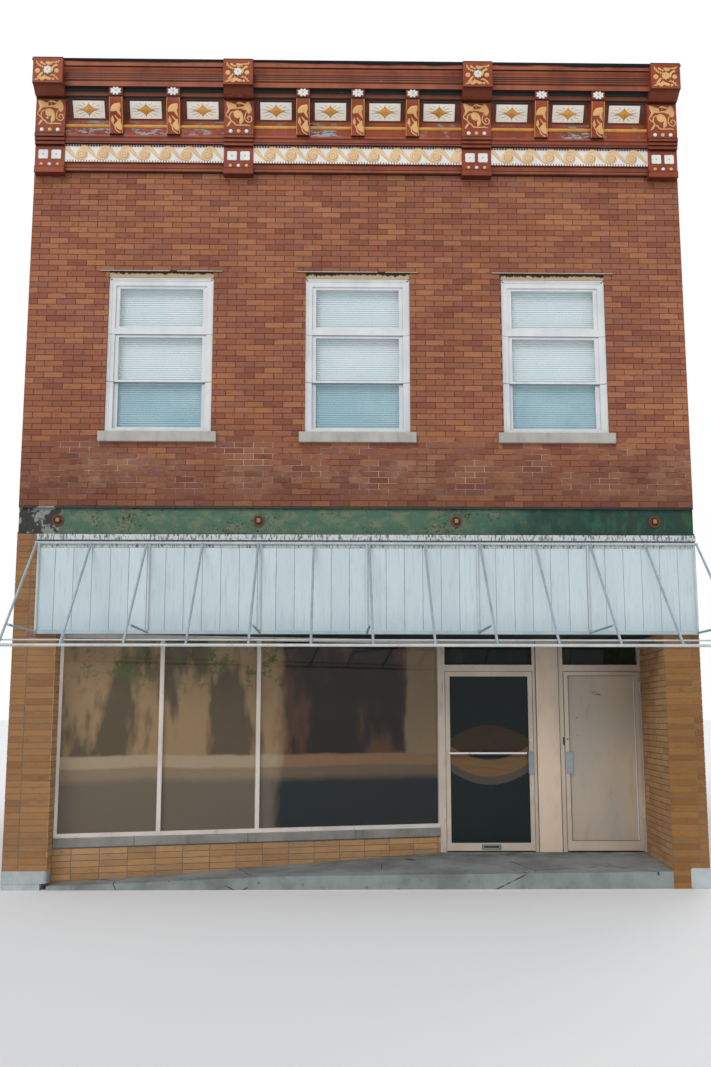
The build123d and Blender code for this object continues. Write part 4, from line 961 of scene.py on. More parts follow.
def add_ribbon(shape, face, points, height, steps):
    """A raised ribbon along (u, w, half width) points."""
    line = smooth_line(points, steps)
    section = ((-1.0, 0.0), (-0.72, 0.8), (0.0, 1.0), (0.72, 0.8), (1.0, 0.0))
    made = []
    last = len(line) - 1
    for i, (u, w, half) in enumerate(line):
        du, dw = (line[min(i + 1, last)] - line[max(i - 1, 0)])[:2]
        length = math.hypot(du, dw) or 1.0
        nu, nw = -dw / length, du / length
        for across, up in section:
            made.append(face.point(u + nu * half * across, w + nw * half * across, height * up))
    count = len(section)
    faces = []
    for i in range(last):
        for k in range(count - 1):
            a = i * count + k
            faces.append((a, a + count, a + count + 1, a + 1)[::-1])
    faces.append(tuple(reversed(range(count))))
    faces.append(tuple(range(last * count, (last + 1) * count)))
    shape.add(made, faces)


DOME_RINGS = ((1.0, 0.0), (0.93, 0.55), (0.76, 0.88), (0.45, 1.0))


def add_dome(shape, face, outline, height, centre=None, rings=DOME_RINGS, tip=1.0):
    """A domed patch over a closed outline of (u, w) points, set in counterclockwise order."""
    outline = np.array(outline, float)
    middle = np.array(centre) if centre else outline.mean(0)
    count = len(outline)
    made = []
    for scale, up in rings:
        for u, w in middle + (outline - middle) * scale:
            made.append(face.point(u, w, height * up))
    made.append(face.point(*middle, height * tip))
    faces = []
    for ring in range(len(rings) - 1):
        for i in range(count):
            j = (i + 1) % count
            a, b = ring * count + i, ring * count + j
            faces.append((a, b, b + count, a + count))
    base = (len(rings) - 1) * count
    faces += [(base + i, base + (i + 1) % count, len(made) - 1) for i in range(count)]
    shape.add(made, faces)


def circle(u, w, radius, sides=24, stretch=1.0):
    return [(u + radius * stretch * math.cos(2 * math.pi * i / sides),
             w + radius * math.sin(2 * math.pi * i / sides)) for i in range(sides)]


def closed_leaf(points):
    """A smooth closed outline through given points."""
    pts = list(points)
    line = smooth_line(pts[-1:] + pts + pts[:2], CURVE_STEPS)
    return line[CURVE_STEPS:(len(pts) + 1) * CURVE_STEPS]


PETAL_POINTS = 14
PETAL_REACH = 0.56
PETAL_LENGTH = 0.46
PETAL_WIDTH = 0.36


def add_flower(shape, face, u, w, radius, petals, height):
    """Petals set round a point."""
    for i in range(petals):
        angle = 2 * math.pi * i / petals
        cu, cw = u + PETAL_REACH * radius * math.cos(angle), w + PETAL_REACH * radius * math.sin(angle)
        petal = []
        for k in range(PETAL_POINTS):
            t = 2 * math.pi * k / PETAL_POINTS
            along, across = PETAL_LENGTH * radius * math.cos(t), PETAL_WIDTH * radius * math.sin(t)
            petal.append((cu + along * math.cos(angle) - across * math.sin(angle),
                          cw + along * math.sin(angle) + across * math.cos(angle)))
        add_dome(shape, face, petal, height)


GROOVE_START = 0.4
GROOVE_TURNS = 1.7
GROOVE_STEPS = 20
GROOVE_RADII = (0.055, 0.01)
GROOVE_HALF = 0.004
GROOVE_LIFT = 0.002


def add_groove(shape, face, u, w):
    """The ribbon wound clockwise into one scroll of the frieze."""
    outer, inner = GROOVE_RADII
    points = []
    for i in range(GROOVE_STEPS + 1):
        share = i / GROOVE_STEPS
        radius = outer + (inner - outer) * share
        angle = GROOVE_START - 2 * math.pi * GROOVE_TURNS * share
        points.append((u + radius * math.cos(angle), w + radius * math.sin(angle),
                       GROOVE_HALF * (1 - 0.4 * share)))
    add_ribbon(shape, face, points, SCROLL_RELIEF + GROOVE_LIFT, 1)


# Walls


def brick_walls():
    """Lay the brick skins over the walls, each with its mortar behind."""
    half = nodes_width() / 2
    front = Face((-half, 0, 0), (1, 0, 0))
    rear_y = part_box("rear_wall_upper")[1].y
    rear = Face((half, rear_y, 0), (-1, 0, 0))
    left = Face((-half, rear_y, 0), (0, -1, 0))
    right = Face((half, 0, 0), (0, 1, 0))
    beam_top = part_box("steel_beam")[1].z
    cornice_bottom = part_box("cornice_base")[0].z
    recessed("front_wall", (front, left, right), red_mortar)
    holes = [front.span(box) for node in ("window_frames", "window_sills") for box in islands(node)]
    holes += lintel_holes(front, "window_lintels")
    skin = Shape()
    lay_bricks(skin, front, 2 * half, cornice_bottom + BEHIND_CORNICE, holes, RED_BRICK, RED_JOINTS, 11,
               bottom=beam_top + 0.004)
    skin.piece("front_bricks", red_brick, "red_brick")

    for node in ("rear_wall_upper", "rear_wall_lower"):
        recessed(node, (rear, left, right), plain_mortar)
    holes = [rear.span(box) for node in ("rear_window_frames", "rear_window_sills", "rear_door")
             for box in islands(node)]
    holes += lintel_holes(rear, "rear_window_lintels")
    rear_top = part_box("rear_wall_upper")[1].z
    skin = Shape()
    lay_bricks(skin, rear, 2 * half, rear_top, holes, RED_BRICK, RED_JOINTS, 12, headers=HEADER_EVERY)
    skin.piece("rear_bricks", plain_brick, "plain_brick")

    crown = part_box("front_wall")[1].z
    front_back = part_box("front_wall")[1].y
    for face, node, base, seed in ((left, "left_party_wall", "left_pier_base", 13),
                                   (right, "right_party_wall", "right_pier_base", 14)):
        recessed(node, (left, right), plain_mortar)
        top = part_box(node)[1].z
        above = face.span((Vector((0, front_back, top)), Vector((0, rear_y, crown + 1))))
        holes = [face.span(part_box("steel_beam")), face.span(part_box(base)), above]
        skin = Shape()
        lay_bricks(skin, face, rear_y, crown, holes, RED_BRICK, RED_JOINTS, seed, headers=HEADER_EVERY)
        skin.piece(node.replace("wall", "bricks"), plain_brick, "plain_brick")


def lintel_holes(face, node):
    """What each lintel takes out of the bricks: its wide flange, and the strip under it."""
    holes = []
    for box in islands(node):
        u0, u1, w0, w1 = face.span(box)
        holes.append((u0, u1, w1 - LINTEL_FLANGE, w1))
        holes.append((u0 + LINTEL_OVERHANG, u1 - LINTEL_OVERHANG, w0, w1))
    return holes


def nodes_width():
    lo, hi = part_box("front_wall")
    return hi.x - lo.x


def buff_walls():
    """Long buff bricks in stacked columns on the piers and under the shopfront."""
    half = nodes_width() / 2
    left_side = Face((-half, 0, 0), (0, -1, 0))
    right_side = Face((half, 0, 0), (0, 1, 0))
    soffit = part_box("entry_soffit")[0].z
    lo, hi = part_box("left_pier")
    glazing_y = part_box("shopfront_frame")[0].y
    base_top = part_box("left_pier_base")[1].z
    front = Face((lo.x, lo.y, 0), (1, 0, 0))
    inward = Face((hi.x, lo.y, 0), (0, 1, 0))
    recessed("left_pier", (front, inward, left_side), buff_mortar)
    skin = Shape()
    lay_bricks(skin, front, hi.x - lo.x, hi.z, [], BUFF_BRICK, BUFF_JOINTS, 21, bottom=base_top,
               stack=True, first=-0.13)
    inner = Shape()
    base = [inward.span(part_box("left_pier_base"))]
    lay_bricks(inner, inward, glazing_y + GLAZING_LAP, soffit, base, BUFF_BRICK, BUFF_JOINTS, 22,
               stack=True,
               first=-0.02)

    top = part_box("right_pier")[1].z
    outline = sorted({(round(v.co.y, 4), round(v.co.x, 4)) for v in nodes["right_pier"].data.vertices
                      if abs(v.co.z - top) < FLAT and v.co.x < half - 0.1})
    street, bend, inside = [Vector((x, y, 0)) for y, x in outline[:3]]
    front = Face(street, (1, 0, 0))
    returns = [Face(inside, bend - inside), Face(bend, street - bend)]
    recessed("right_pier", (front, *returns, right_side), buff_mortar)
    base = [front.span(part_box("right_pier_base"))]
    lay_bricks(skin, front, half - street.x, top, base, BUFF_BRICK, BUFF_JOINTS, 23, stack=True)
    for face, length in zip(returns, ((bend - inside).length, (street - bend).length)):
        lay_bricks(inner, face, length, soffit, [], BUFF_BRICK, BUFF_JOINTS, 24, stack=True, first=-0.06)

    lo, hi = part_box("bulkhead")
    ends = []
    for x in (lo.x, hi.x):
        near = [v.co.y for v in nodes["bulkhead"].data.vertices if abs(v.co.x - x) < FLAT]
        ends.append(Vector((x, min(near), 0)))
    along = Face(ends[0], ends[1] - ends[0])
    recessed("bulkhead", (along,), buff_mortar)
    lay_bricks(inner, along, (ends[1] - ends[0]).length, hi.z, [], BUFF_BRICK, BUFF_JOINTS, 25,
               stack=True, first=-0.1)
    skin.piece("buff_bricks", buff_brick, "buff_brick")
    inner.piece("inner_buff_bricks", lightened_inner_brick, "buff_brick")


# Sign band of upright boards
BOARD_COUNT = 36
BOARD_GAP = 0.0035
BOARD_THICKNESS = 0.02
PEELED_STRIP = 0.08


def sign_boards():
    """Upright boards under a peeled strip."""
    lo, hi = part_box("sign_band")
    front = Face((lo.x, lo.y, 0), (1, 0, 0))
    recessed("sign_band", (front,), peeled_wood, BOARD_THICKNESS)
    rng = np.random.default_rng(31)
    boards = Shape()
    pitch = (hi.x - lo.x) / BOARD_COUNT
    top = hi.z - PEELED_STRIP
    for i in range(BOARD_COUNT):
        x0 = lo.x + i * pitch + BOARD_GAP / 2
        x1 = lo.x + (i + 1) * pitch - BOARD_GAP / 2
        sink = rng.random() * 0.002
        add_box(boards, (x0, lo.y + sink, lo.z), (x1, lo.y + BOARD_THICKNESS + 0.002, top), 0.002,
                rng.random())
    boards.piece("sign_boards", white_boards, "white_boards")
    strip = Shape()
    x = lo.x
    while x < hi.x:
        end = min(x + 0.3 + 0.6 * rng.random(), hi.x)
        add_box(strip, (x, lo.y + 0.004 * rng.random(), top + 0.002), (end - 0.002, lo.y + 0.022, hi.z),
                0.002,
                rng.random())
        x = end
    strip.piece("sign_band_strip", peeled_wood, "white_boards")


# Upper windows
SLAT_DEPTH = 0.012
MOULDINGS = ((0.034, 0.009), (0.016, 0.017))


def window_blinds():
    """Closed slats behind each window."""
    slats = Shape()
    rng = np.random.default_rng(41)
    for lo, hi in islands("window_blinds"):
        count = int((hi.z - lo.z) / SLAT_PITCH)
        for i in range(count):
            low = lo.z + i * SLAT_PITCH
            lean = 0.0007 * rng.random()
            front, back = lo.y + lean, lo.y + SLAT_DEPTH * 0.7
            points = []
            for x in (lo.x, hi.x):
                points += [(x, back, low), (x, front, low + 0.002),
                           (x, front + 0.002, low + 0.6 * SLAT_PITCH),
                           (x, back, low + SLAT_PITCH * 1.04)]
            faces = [(0, 1, 5, 4), (1, 2, 6, 5), (2, 3, 7, 6), (3, 0, 4, 7), (3, 2, 1, 0), (4, 5, 6, 7)]
            slats.add(points, faces, rng.random())
    slats.piece("window_slats", blind_slats, "blind", stands_for=("window_blinds",))


def window_trims():
    """Stepped mouldings round each upper window, and flakes of old paint on its lintel."""
    trims = Shape()
    for lo, hi in islands("window_frames"):
        for width, depth in MOULDINGS:
            y0 = lo.y - depth
            for x in (lo.x, hi.x - width):
                add_box(trims, (x, y0, lo.z), (x + width, lo.y + 0.002, hi.z), 0.002)
            add_box(trims, (lo.x, y0, hi.z - width), (hi.x, lo.y + 0.002, hi.z), 0.002)
    trims.piece("window_mouldings", white_frame, "white_frame")
    rng = np.random.default_rng(42)
    flakes = Shape()
    for lo, hi in islands("window_lintels"):
        x = lo.x
        while x < hi.x:
            end = min(x + 0.04 + 0.12 * rng.random(), hi.x)
            if rng.random() < 0.85:
                add_box(flakes, (x, lo.y - 0.003, hi.z - 0.011), (end - 0.003, lo.y + 0.002, hi.z), 0.001,
                        rng.random())
            x = end
    flakes.piece("lintel_edges", pale_stone, "rusty_iron")


# Cornice: running scrolls of the frieze
SCROLL_PITCH = 0.245
SCROLL_START = -0.19
SCROLL_RADIUS = 0.072
SCROLL_FOOT = 0.002
SCROLL_RELIEF = 0.011
RIBBON_CREST = 0.02
RIBBON_LIFT = 0.017
RIBBON_HEIGHT = 0.079
RIBBON_HALF = 0.026
RIBBON_RISE = 0.078
RIBBON_FALL = 0.2
FRIEZE_FACE = 0.086
MOULD_FACE = 0.0915
SCALLOP = 0.032


def scroll_ribbon(u, level):
    """A ribbon that rises over a disc and sweeps down to the foot of the next one."""
    line = []
    for turn in np.linspace(-math.pi / 2, math.pi, 25):
        run = 2 * RIBBON_RISE / math.pi if turn < 0 else RIBBON_FALL / math.pi
        half = max(0.001, RIBBON_HALF * math.cos((turn - math.pi / 4) * 2 / 3))
        line.append((u + RIBBON_CREST + run * turn, level + RIBBON_LIFT + RIBBON_HEIGHT * math.cos(turn),
                     half))
    return line


def frieze():
    """White ground with a row of running scrolls on it, between toothed edges."""
    ground, scrolls, edge, grooves = Shape(), Shape(), Shape(), Shape()
    for start, end in islands("scroll_frieze"):
        face = Face((start.x, -FRIEZE_FACE, start.z), (1, 0, 0))
        width, height = end.x - start.x, end.z - start.z
        add_box(ground, (start.x, -FRIEZE_FACE, start.z), (end.x, end.y, end.z))
        level = SCROLL_FOOT + SCROLL_RADIUS
        u = SCROLL_START * SCROLL_PITCH
        while u < width:
            line = [point for point in scroll_ribbon(u, level) if 0.002 < point[0] < width - 0.002]
            if len(line) > 2:
                add_ribbon(scrolls, face, line, SCROLL_RELIEF, 1)
            if u > 0:
                outline = [(min(x, width - 0.002), w) for x, w in circle(u, level, SCROLL_RADIUS, 32)]
                add_dome(scrolls, face, outline, SCROLL_RELIEF, centre=(min(u, width - 0.02), level))
                if u + SCROLL_RADIUS < width:
                    add_groove(grooves, face, u, level)
            u += SCROLL_PITCH
        teeth = round(width / SCALLOP)
        tooth = width / teeth
        below = Face((start.x, -MOULD_FACE, start.z), (1, 0, 0))
        for i in range(teeth):
            u = (i + 0.5) * tooth
            add_dome(edge, face, circle(u, height - 0.013, 0.38 * tooth, 12), 0.004,
                     rings=((1, 0.4), (0.9, 1)))
            add_dome(ground, below, circle(u, -0.011, 0.38 * tooth, 12), 0.002, rings=((1, 0.2), (0.9, 1)))
    ground.piece("frieze_ground", frieze_white, "cream_paint", stands_for=("scroll_frieze",))
    scrolls.piece("frieze_scrolls", scroll_ochre, "ochre_paint", smooth=50)
    edge.piece("frieze_teeth", tooth_paint, "oxblood_paint")
    grooves.piece("frieze_grooves", star_rim, "ochre_paint")


# Cornice: leaning plates
PLATE_WIDTH = 0.372
PLATE_HEIGHT = 0.195
PLATE_THICKNESS = 0.02
STAR_HALF = (0.12, 0.072)
STAR_POWER = 0.66
RAY_COUNT = 14


STAR_SIDES = 48


def star_outline(width, height):
    """A four pointed star with hollow sides."""
    points = []
    for i in range(STAR_SIDES):
        turn = 2 * math.pi * i / STAR_SIDES
        c, s = math.cos(turn), math.sin(turn)
        points.append((math.copysign(width * abs(c) ** (2 / STAR_POWER), c),
                       math.copysign(height * abs(s) ** (2 / STAR_POWER), s)))
    return points


def plates():
    """Cream plates with an ochre star, a small boss and pressed rays."""
    ground, rays, stars, rims = Shape(), Shape(), Shape(), Shape()
    facets = [p for p in nodes["cornice_plates"].data.polygons if p.normal.y < -0.5]
    normal = max(facets, key=lambda p: p.area).normal.copy()
    slope = normal.cross(Vector((1, 0, 0)))
    for lo, hi in islands("cornice_plates"):
        middle = (lo + hi) / 2 + normal * (PLATE_THICKNESS / 2)
        middle.x = (lo.x + hi.x) / 2
        face = Face(middle, (1, 0, 0), slope)
        half, rise = PLATE_WIDTH / 2, PLATE_HEIGHT / 2
        rect = [(-half, -rise), (half, -rise), (half, rise), (-half, rise)]
        points = [face.point(u, w, -PLATE_THICKNESS) for u, w in rect]
        points += [face.point(u, w, -0.002) for u, w in rect]
        points += [face.point(u * 0.99, w * 0.98, 0) for u, w in rect]
        sides = [(i + k, (i + 1) % 4 + k, (i + 1) % 4 + k + 4, i + k + 4) for k in (0, 4) for i in range(4)]
        ground.add(points, sides + [(8, 9, 10, 11), (3, 2, 1, 0)])
        for i in range(RAY_COUNT):
            turn = 2 * math.pi * (i + 0.5) / RAY_COUNT
            near = (0.2 * PLATE_WIDTH * math.cos(turn), 0.26 * PLATE_HEIGHT * math.sin(turn))
            far = (0.45 * PLATE_WIDTH * math.cos(turn), 0.43 * PLATE_HEIGHT * math.sin(turn))
            add_ribbon(rays, face, [(*near, 0.0015),
                                    ((near[0] + far[0]) / 2, (near[1] + far[1]) / 2, 0.0035),
                                    (*far, 0.0015)], 0.0035, 4)
        width, height = STAR_HALF
        add_dome(rims, face, star_outline(width * 1.06, height * 1.08), 0.004, centre=(0, 0))
        rings = ((1.0, 0.2), (0.9, 0.55), (0.6, 0.85), (0.3, 1.0))
        add_dome(stars, face, star_outline(width, height), 0.0085, centre=(0, 0), rings=rings)
        add_dome(stars, face, circle(0, 0, 0.03), 0.015, centre=(0, 0))
        add_dome(rims, face, circle(0, 0, 0.007, 12), 0.018, centre=(0, 0))
    ground.piece("plate_grounds", cream, "cream_paint", stands_for=("cornice_plates",))
    rays.piece("plate_rays", ray_painted_shade, "cream_paint")
    stars.piece("plate_stars", star_ochre, "ochre_paint", smooth=40)
    rims.piece("plate_star_rims", star_rim, "ochre_paint", smooth=40)


# Cornice: leaves of the big brackets, as (across, up) from the foot of the scroll face
LEFT_EAR = ((-0.148, 0.42), (-0.147, 0.385), (-0.138, 0.355), (-0.13, 0.33), (-0.138, 0.3), (-0.146, 0.275),
            (-0.128, 0.27), (-0.11, 0.3), (-0.09, 0.322), (-0.055, 0.325), (-0.03, 0.33), (-0.028, 0.36),
            (-0.035, 0.39), (-0.055, 0.39), (-0.085, 0.405), (-0.11, 0.415))
RIGHT_EAR = ((0.05, 0.36), (0.03, 0.345), (0.035, 0.325), (0.065, 0.315), (0.09, 0.305), (0.1, 0.28),
             (0.12, 0.27), (0.138, 0.285), (0.15, 0.315), (0.145, 0.355), (0.13, 0.395), (0.112, 0.42),
             (0.09, 0.415), (0.07, 0.395))
DROP_LEAF = ((-0.065, 0.275), (-0.055, 0.235), (-0.035, 0.215), (-0.01, 0.205), (0.015, 0.2), (0.025, 0.17),
             (0.01, 0.14), (0.015, 0.13), (0.04, 0.15), (0.055, 0.175), (0.055, 0.205), (0.05, 0.245),
             (0.04, 0.275), (0.025, 0.295), (0.0, 0.31), (-0.03, 0.315), (-0.055, 0.295))
LOWER_LEAF = ((-0.095, 0.175), (-0.12, 0.15), (-0.14, 0.105), (-0.125, 0.105), (-0.105, 0.125),
              (-0.09, 0.15))
VINE = ((-0.05, 0.29), (-0.08, 0.285), (-0.1, 0.265), (-0.107, 0.235), (-0.105, 0.205), (-0.09, 0.18),
        (-0.07, 0.16), (-0.055, 0.155), (-0.04, 0.13), (-0.01, 0.12), (0.03, 0.12), (0.07, 0.121),
        (0.11, 0.12), (0.135, 0.11))
LEFT_STEM = ((-0.148, 0.275), (-0.15, 0.245), (-0.135, 0.225), (-0.12, 0.215), (-0.105, 0.2))
RIGHT_CURL = ((0.09, 0.295), (0.08, 0.265), (0.072, 0.235), (0.07, 0.205), (0.08, 0.185), (0.1, 0.165),
              (0.13, 0.16), (0.15, 0.18), (0.15, 0.215), (0.13, 0.235), (0.11, 0.23), (0.105, 0.205),
              (0.12, 0.19))
TOP_LINK = ((-0.03, 0.395), (0.0, 0.405), (0.04, 0.395), (0.07, 0.385))
LOW_LINK = ((-0.03, 0.335), (0.0, 0.34), (0.04, 0.345), (0.06, 0.35))
MID_LINK = ((0.0, 0.36), (0.0, 0.4))

# The same for the top block, as (across, up) from its middle
UPPER_LEAF = ((-0.092, 0.103), (-0.087, 0.082), (-0.068, 0.071), (-0.047, 0.061), (-0.026, 0.055),
              (-0.021, 0.074), (-0.047, 0.082), (-0.061, 0.097), (-0.074, 0.108))
CROWN_LEAF = ((-0.026, 0.1), (-0.018, 0.079), (-0.005, 0.063), (0.011, 0.053), (0.032, 0.061),
              (0.053, 0.074),
              (0.063, 0.087), (0.05, 0.103), (0.032, 0.097), (0.0, 0.105))
RIGHT_LEAF = ((0.032, 0.016), (0.047, -0.026), (0.063, -0.011), (0.068, 0.016), (0.084, 0.037),
              (0.111, 0.047),
              (0.116, 0.066), (0.095, 0.074), (0.068, 0.058), (0.047, 0.037))
LEFT_LEAF = ((-0.058, -0.021), (-0.087, -0.047), (-0.105, -0.074), (-0.121, -0.095), (-0.105, -0.105),
             (-0.079, -0.095), (-0.063, -0.063), (-0.047, -0.037))
FOOT_LEAF = ((-0.087, -0.116), (-0.076, -0.132), (-0.047, -0.134), (-0.021, -0.116), (0.005, -0.126),
             (0.032, -0.129), (0.053, -0.111), (0.032, -0.095), (0.0, -0.084), (-0.026, -0.074),
             (-0.063, -0.1))
BLOCK_CURLS = (((-0.132, 0.116), (-0.124, 0.089), (-0.108, 0.066), (-0.087, 0.05), (-0.063, 0.039),
                (-0.037, 0.026)),
               ((0.053, 0.095), (0.087, 0.092), (0.111, 0.097), (0.139, 0.113)),
               ((-0.15, -0.132), (-0.121, -0.121), (-0.095, -0.111), (-0.068, -0.103), (-0.047, -0.087),
                (-0.026, -0.071)),
               ((0.032, -0.074), (0.063, -0.068), (0.089, -0.082), (0.111, -0.105), (0.121, -0.126)))
BLOCK_DISCS = ((-0.116, -0.013, 0.031), (0.105, -0.01, 0.029), (0.07, -0.116, 0.016))
RELIEF = 0.01
BIG_FACE_FOOT = 8.584
ROSETTE_LEVEL = 8.345
ROSETTE_HALF = 0.057


def leaf(shape, face, points, height=RELIEF):
    """A domed leaf inside a smooth outline."""
    add_dome(shape, face, closed_leaf(points), height)


def vine(shape, face, points, half, height=RELIEF):
    """A raised stem of one width that thins at its ends."""
    last = len(points) - 1
    line = [(u, w, half * (0.6 if i in (0, last) else 1)) for i, (u, w) in enumerate(points)]
    add_ribbon(shape, face, line, height, 4)


def leaflets(shape, face, points, size):
    """Small leaves set in turn on both sides of a stem."""
    line = smooth_line(points, 2)
    for i in range(1, len(line) - 1):
        step = line[i + 1] - line[i - 1]
        angle = math.atan2(step[1], step[0]) + (0.95 if i % 2 else -0.95)
        middle = line[i] + 0.8 * size * np.array((math.cos(angle), math.sin(angle)))
        outline = []
        for k in range(10):
            turn = 2 * math.pi * k / 10
            along, across = size * math.cos(turn), 0.42 * size * math.sin(turn)
            outline.append((middle[0] + along * math.cos(angle) - across * math.sin(angle),
                            middle[1] + along * math.sin(angle) + across * math.cos(angle)))
        add_dome(shape, face, outline, RELIEF)


SQUARE_RELIEF = 0.008
LOBE_RADIUS = 0.02
CORNER_REACH = 1.36


def square_flower(shape, face, u, w, half):
    """A square rosette with lobed sides and rounded corners."""
    outline = []
    for i in range(64):
        turn = 2 * math.pi * i / 64
        square = half / max(abs(math.cos(turn)), abs(math.sin(turn)))
        reach = min(square, CORNER_REACH * half) * (1 + LOBE_RADIUS * math.cos(8 * turn - math.pi))
        outline.append((u + reach * math.cos(turn), w + reach * math.sin(turn)))
    add_dome(shape, face, outline, SQUARE_RELIEF,
             rings=((1.0, 0.3), (0.95, 0.9), (0.6, 1.0), (0.3, 0.7)), tip=0.6)


def stud(shape, face, u, w, radius):
    add_dome(shape, face, circle(u, w, radius, 18), 0.6 * radius)


def big_bracket_reliefs():
    """Leaves, flowers and studs on the four big brackets."""
    ochre, white, hearts, patch = Shape(), Shape(), Shape(), Shape()
    for lo, hi in islands("big_brackets"):
        middle = (lo.x + hi.x) / 2
        scroll = Face((middle, -0.148, BIG_FACE_FOOT), (1, 0, 0))
        for points in (LEFT_EAR, RIGHT_EAR, DROP_LEAF, LOWER_LEAF):
            leaf(ochre, scroll, points)
        for points, half in ((VINE, 0.0075), (LEFT_STEM, 0.0065), (RIGHT_CURL, 0.0065), (TOP_LINK, 0.011),
                             (LOW_LINK, 0.012), (MID_LINK, 0.007)):
            vine(ochre, scroll, points, half)
        for u, shape in ((-0.093, white), (0.0, ochre), (0.093, white)):
            stud(shape, scroll, u, 0.045, 0.024)
        block = Face((middle, lo.y, hi.z - 0.16), (1, 0, 0))
        for points in (UPPER_LEAF, CROWN_LEAF, RIGHT_LEAF, LEFT_LEAF, FOOT_LEAF):
            leaf(ochre, block, points)
        for points in BLOCK_CURLS:
            vine(ochre, block, points, 0.0075)
            leaflets(ochre, block, points, 0.012)
        for u, w, radius in BLOCK_DISCS:
            add_dome(ochre, block, circle(u, w, radius), RELIEF)
        if middle < -3:
            add_dome(patch, scroll, circle(-0.03, 0.19, 0.016), 0.013)
        last = middle > 3
        flower = ochre if last else white
        add_flower(flower, block, 0, 0, 0.05, 8, 0.013)
        add_dome(flower, block, circle(0, 0, 0.026), 0.014)
        add_dome(hearts, block, circle(0, 0, 0.011), 0.018)
        foot = Face((middle, -0.1, ROSETTE_LEVEL), (1, 0, 0))
        for u in (-0.076, 0.076):
            square_flower(white, foot, u, 0, ROSETTE_HALF)
            stud(hearts, foot, u, 0, 0.012)
        for u, shape in ((-0.095, ochre), (0.0, white), (0.095, ochre)):
            stud(shape, foot, u, 8.222 - ROSETTE_LEVEL, 0.021)
    ochre.piece("big_bracket_leaves", relief_ochre, "ochre_paint", smooth=50)
    white.piece("big_bracket_flowers", relief_white, "cream_paint", smooth=50)
    hearts.piece("big_bracket_hearts", heart_paint, "ochre_paint", smooth=50)
    patch.piece("big_bracket_dot", pipe_paint, "steel_pipe", smooth=50)


# Leaves of the small brackets, as (across, level)
CAP_LEAF = ((-0.059, 8.889), (-0.048, 8.884), (-0.022, 8.887), (0.009, 8.887), (0.02, 8.868),
            (0.036, 8.847),
            (0.059, 8.826), (0.057, 8.853), (0.046, 8.9), (0.052, 8.921), (0.057, 8.947), (0.054, 8.987),
            (0.041, 8.995), (0.009, 8.992), (-0.022, 8.982), (-0.048, 8.953), (-0.062, 8.916))
PEAR_LEAF = ((0.036, 8.797), (0.009, 8.763), (-0.009, 8.742), (-0.014, 8.721), (-0.001, 8.689),
             (0.02, 8.663),
             (0.041, 8.65), (0.058, 8.647), (0.068, 8.663), (0.068, 8.716), (0.059, 8.742), (0.054, 8.795))
SIDE_LEAF = ((-0.046, 8.837), (-0.051, 8.816), (-0.059, 8.789), (-0.056, 8.758), (-0.038, 8.747),
             (-0.022, 8.763), (-0.025, 8.795), (-0.035, 8.826))
CROSS_STEM = ((-0.014, 8.842), (0.004, 8.816), (0.025, 8.789), (0.036, 8.763))
LOW_STEM = ((-0.043, 8.747), (-0.027, 8.726), (-0.014, 8.7), (-0.009, 8.668), (0.004, 8.647),
            (0.025, 8.626),
            (0.041, 8.613), (0.055, 8.606))
SMALL_FOOT_DEPTH = -0.115
SMALL_FOOT_LEVEL = 8.604
SMALL_BLOCK = 0.1
BLOCK_CAP = 0.011
LEAF_FOOT, LEAF_SHARE, CAP_LEAF_FOOT = 8.612, 0.85, 8.606


class SCurve:
    """The S-shaped front of a small bracket: u runs across it and w is the level."""

    def __init__(self, middle, head_y, head_z):
        self.middle, self.head_y = middle, head_y
        self.rise = head_z - SMALL_FOOT_LEVEL
        run = SMALL_FOOT_DEPTH - head_y
        self.radius = (run ** 2 + self.rise ** 2) / (4 * run)

    def point(self, u, w, d):
        up = min(max(w - SMALL_FOOT_LEVEL, 0), self.rise)
        part = min(up, self.rise - up)
        level_part = math.sqrt(self.radius ** 2 - part ** 2)
        sag = self.radius - level_part
        y = SMALL_FOOT_DEPTH - sag if up < self.rise / 2 else self.head_y + sag
        return (self.middle + u, y - d * level_part / self.radius, w - d * part / self.radius)


def lowered(points):
    """Leaf points with their levels brought to the small bracket's front."""
    return [(u, LEAF_FOOT + (w - CAP_LEAF_FOOT) * LEAF_SHARE) for u, w in points]


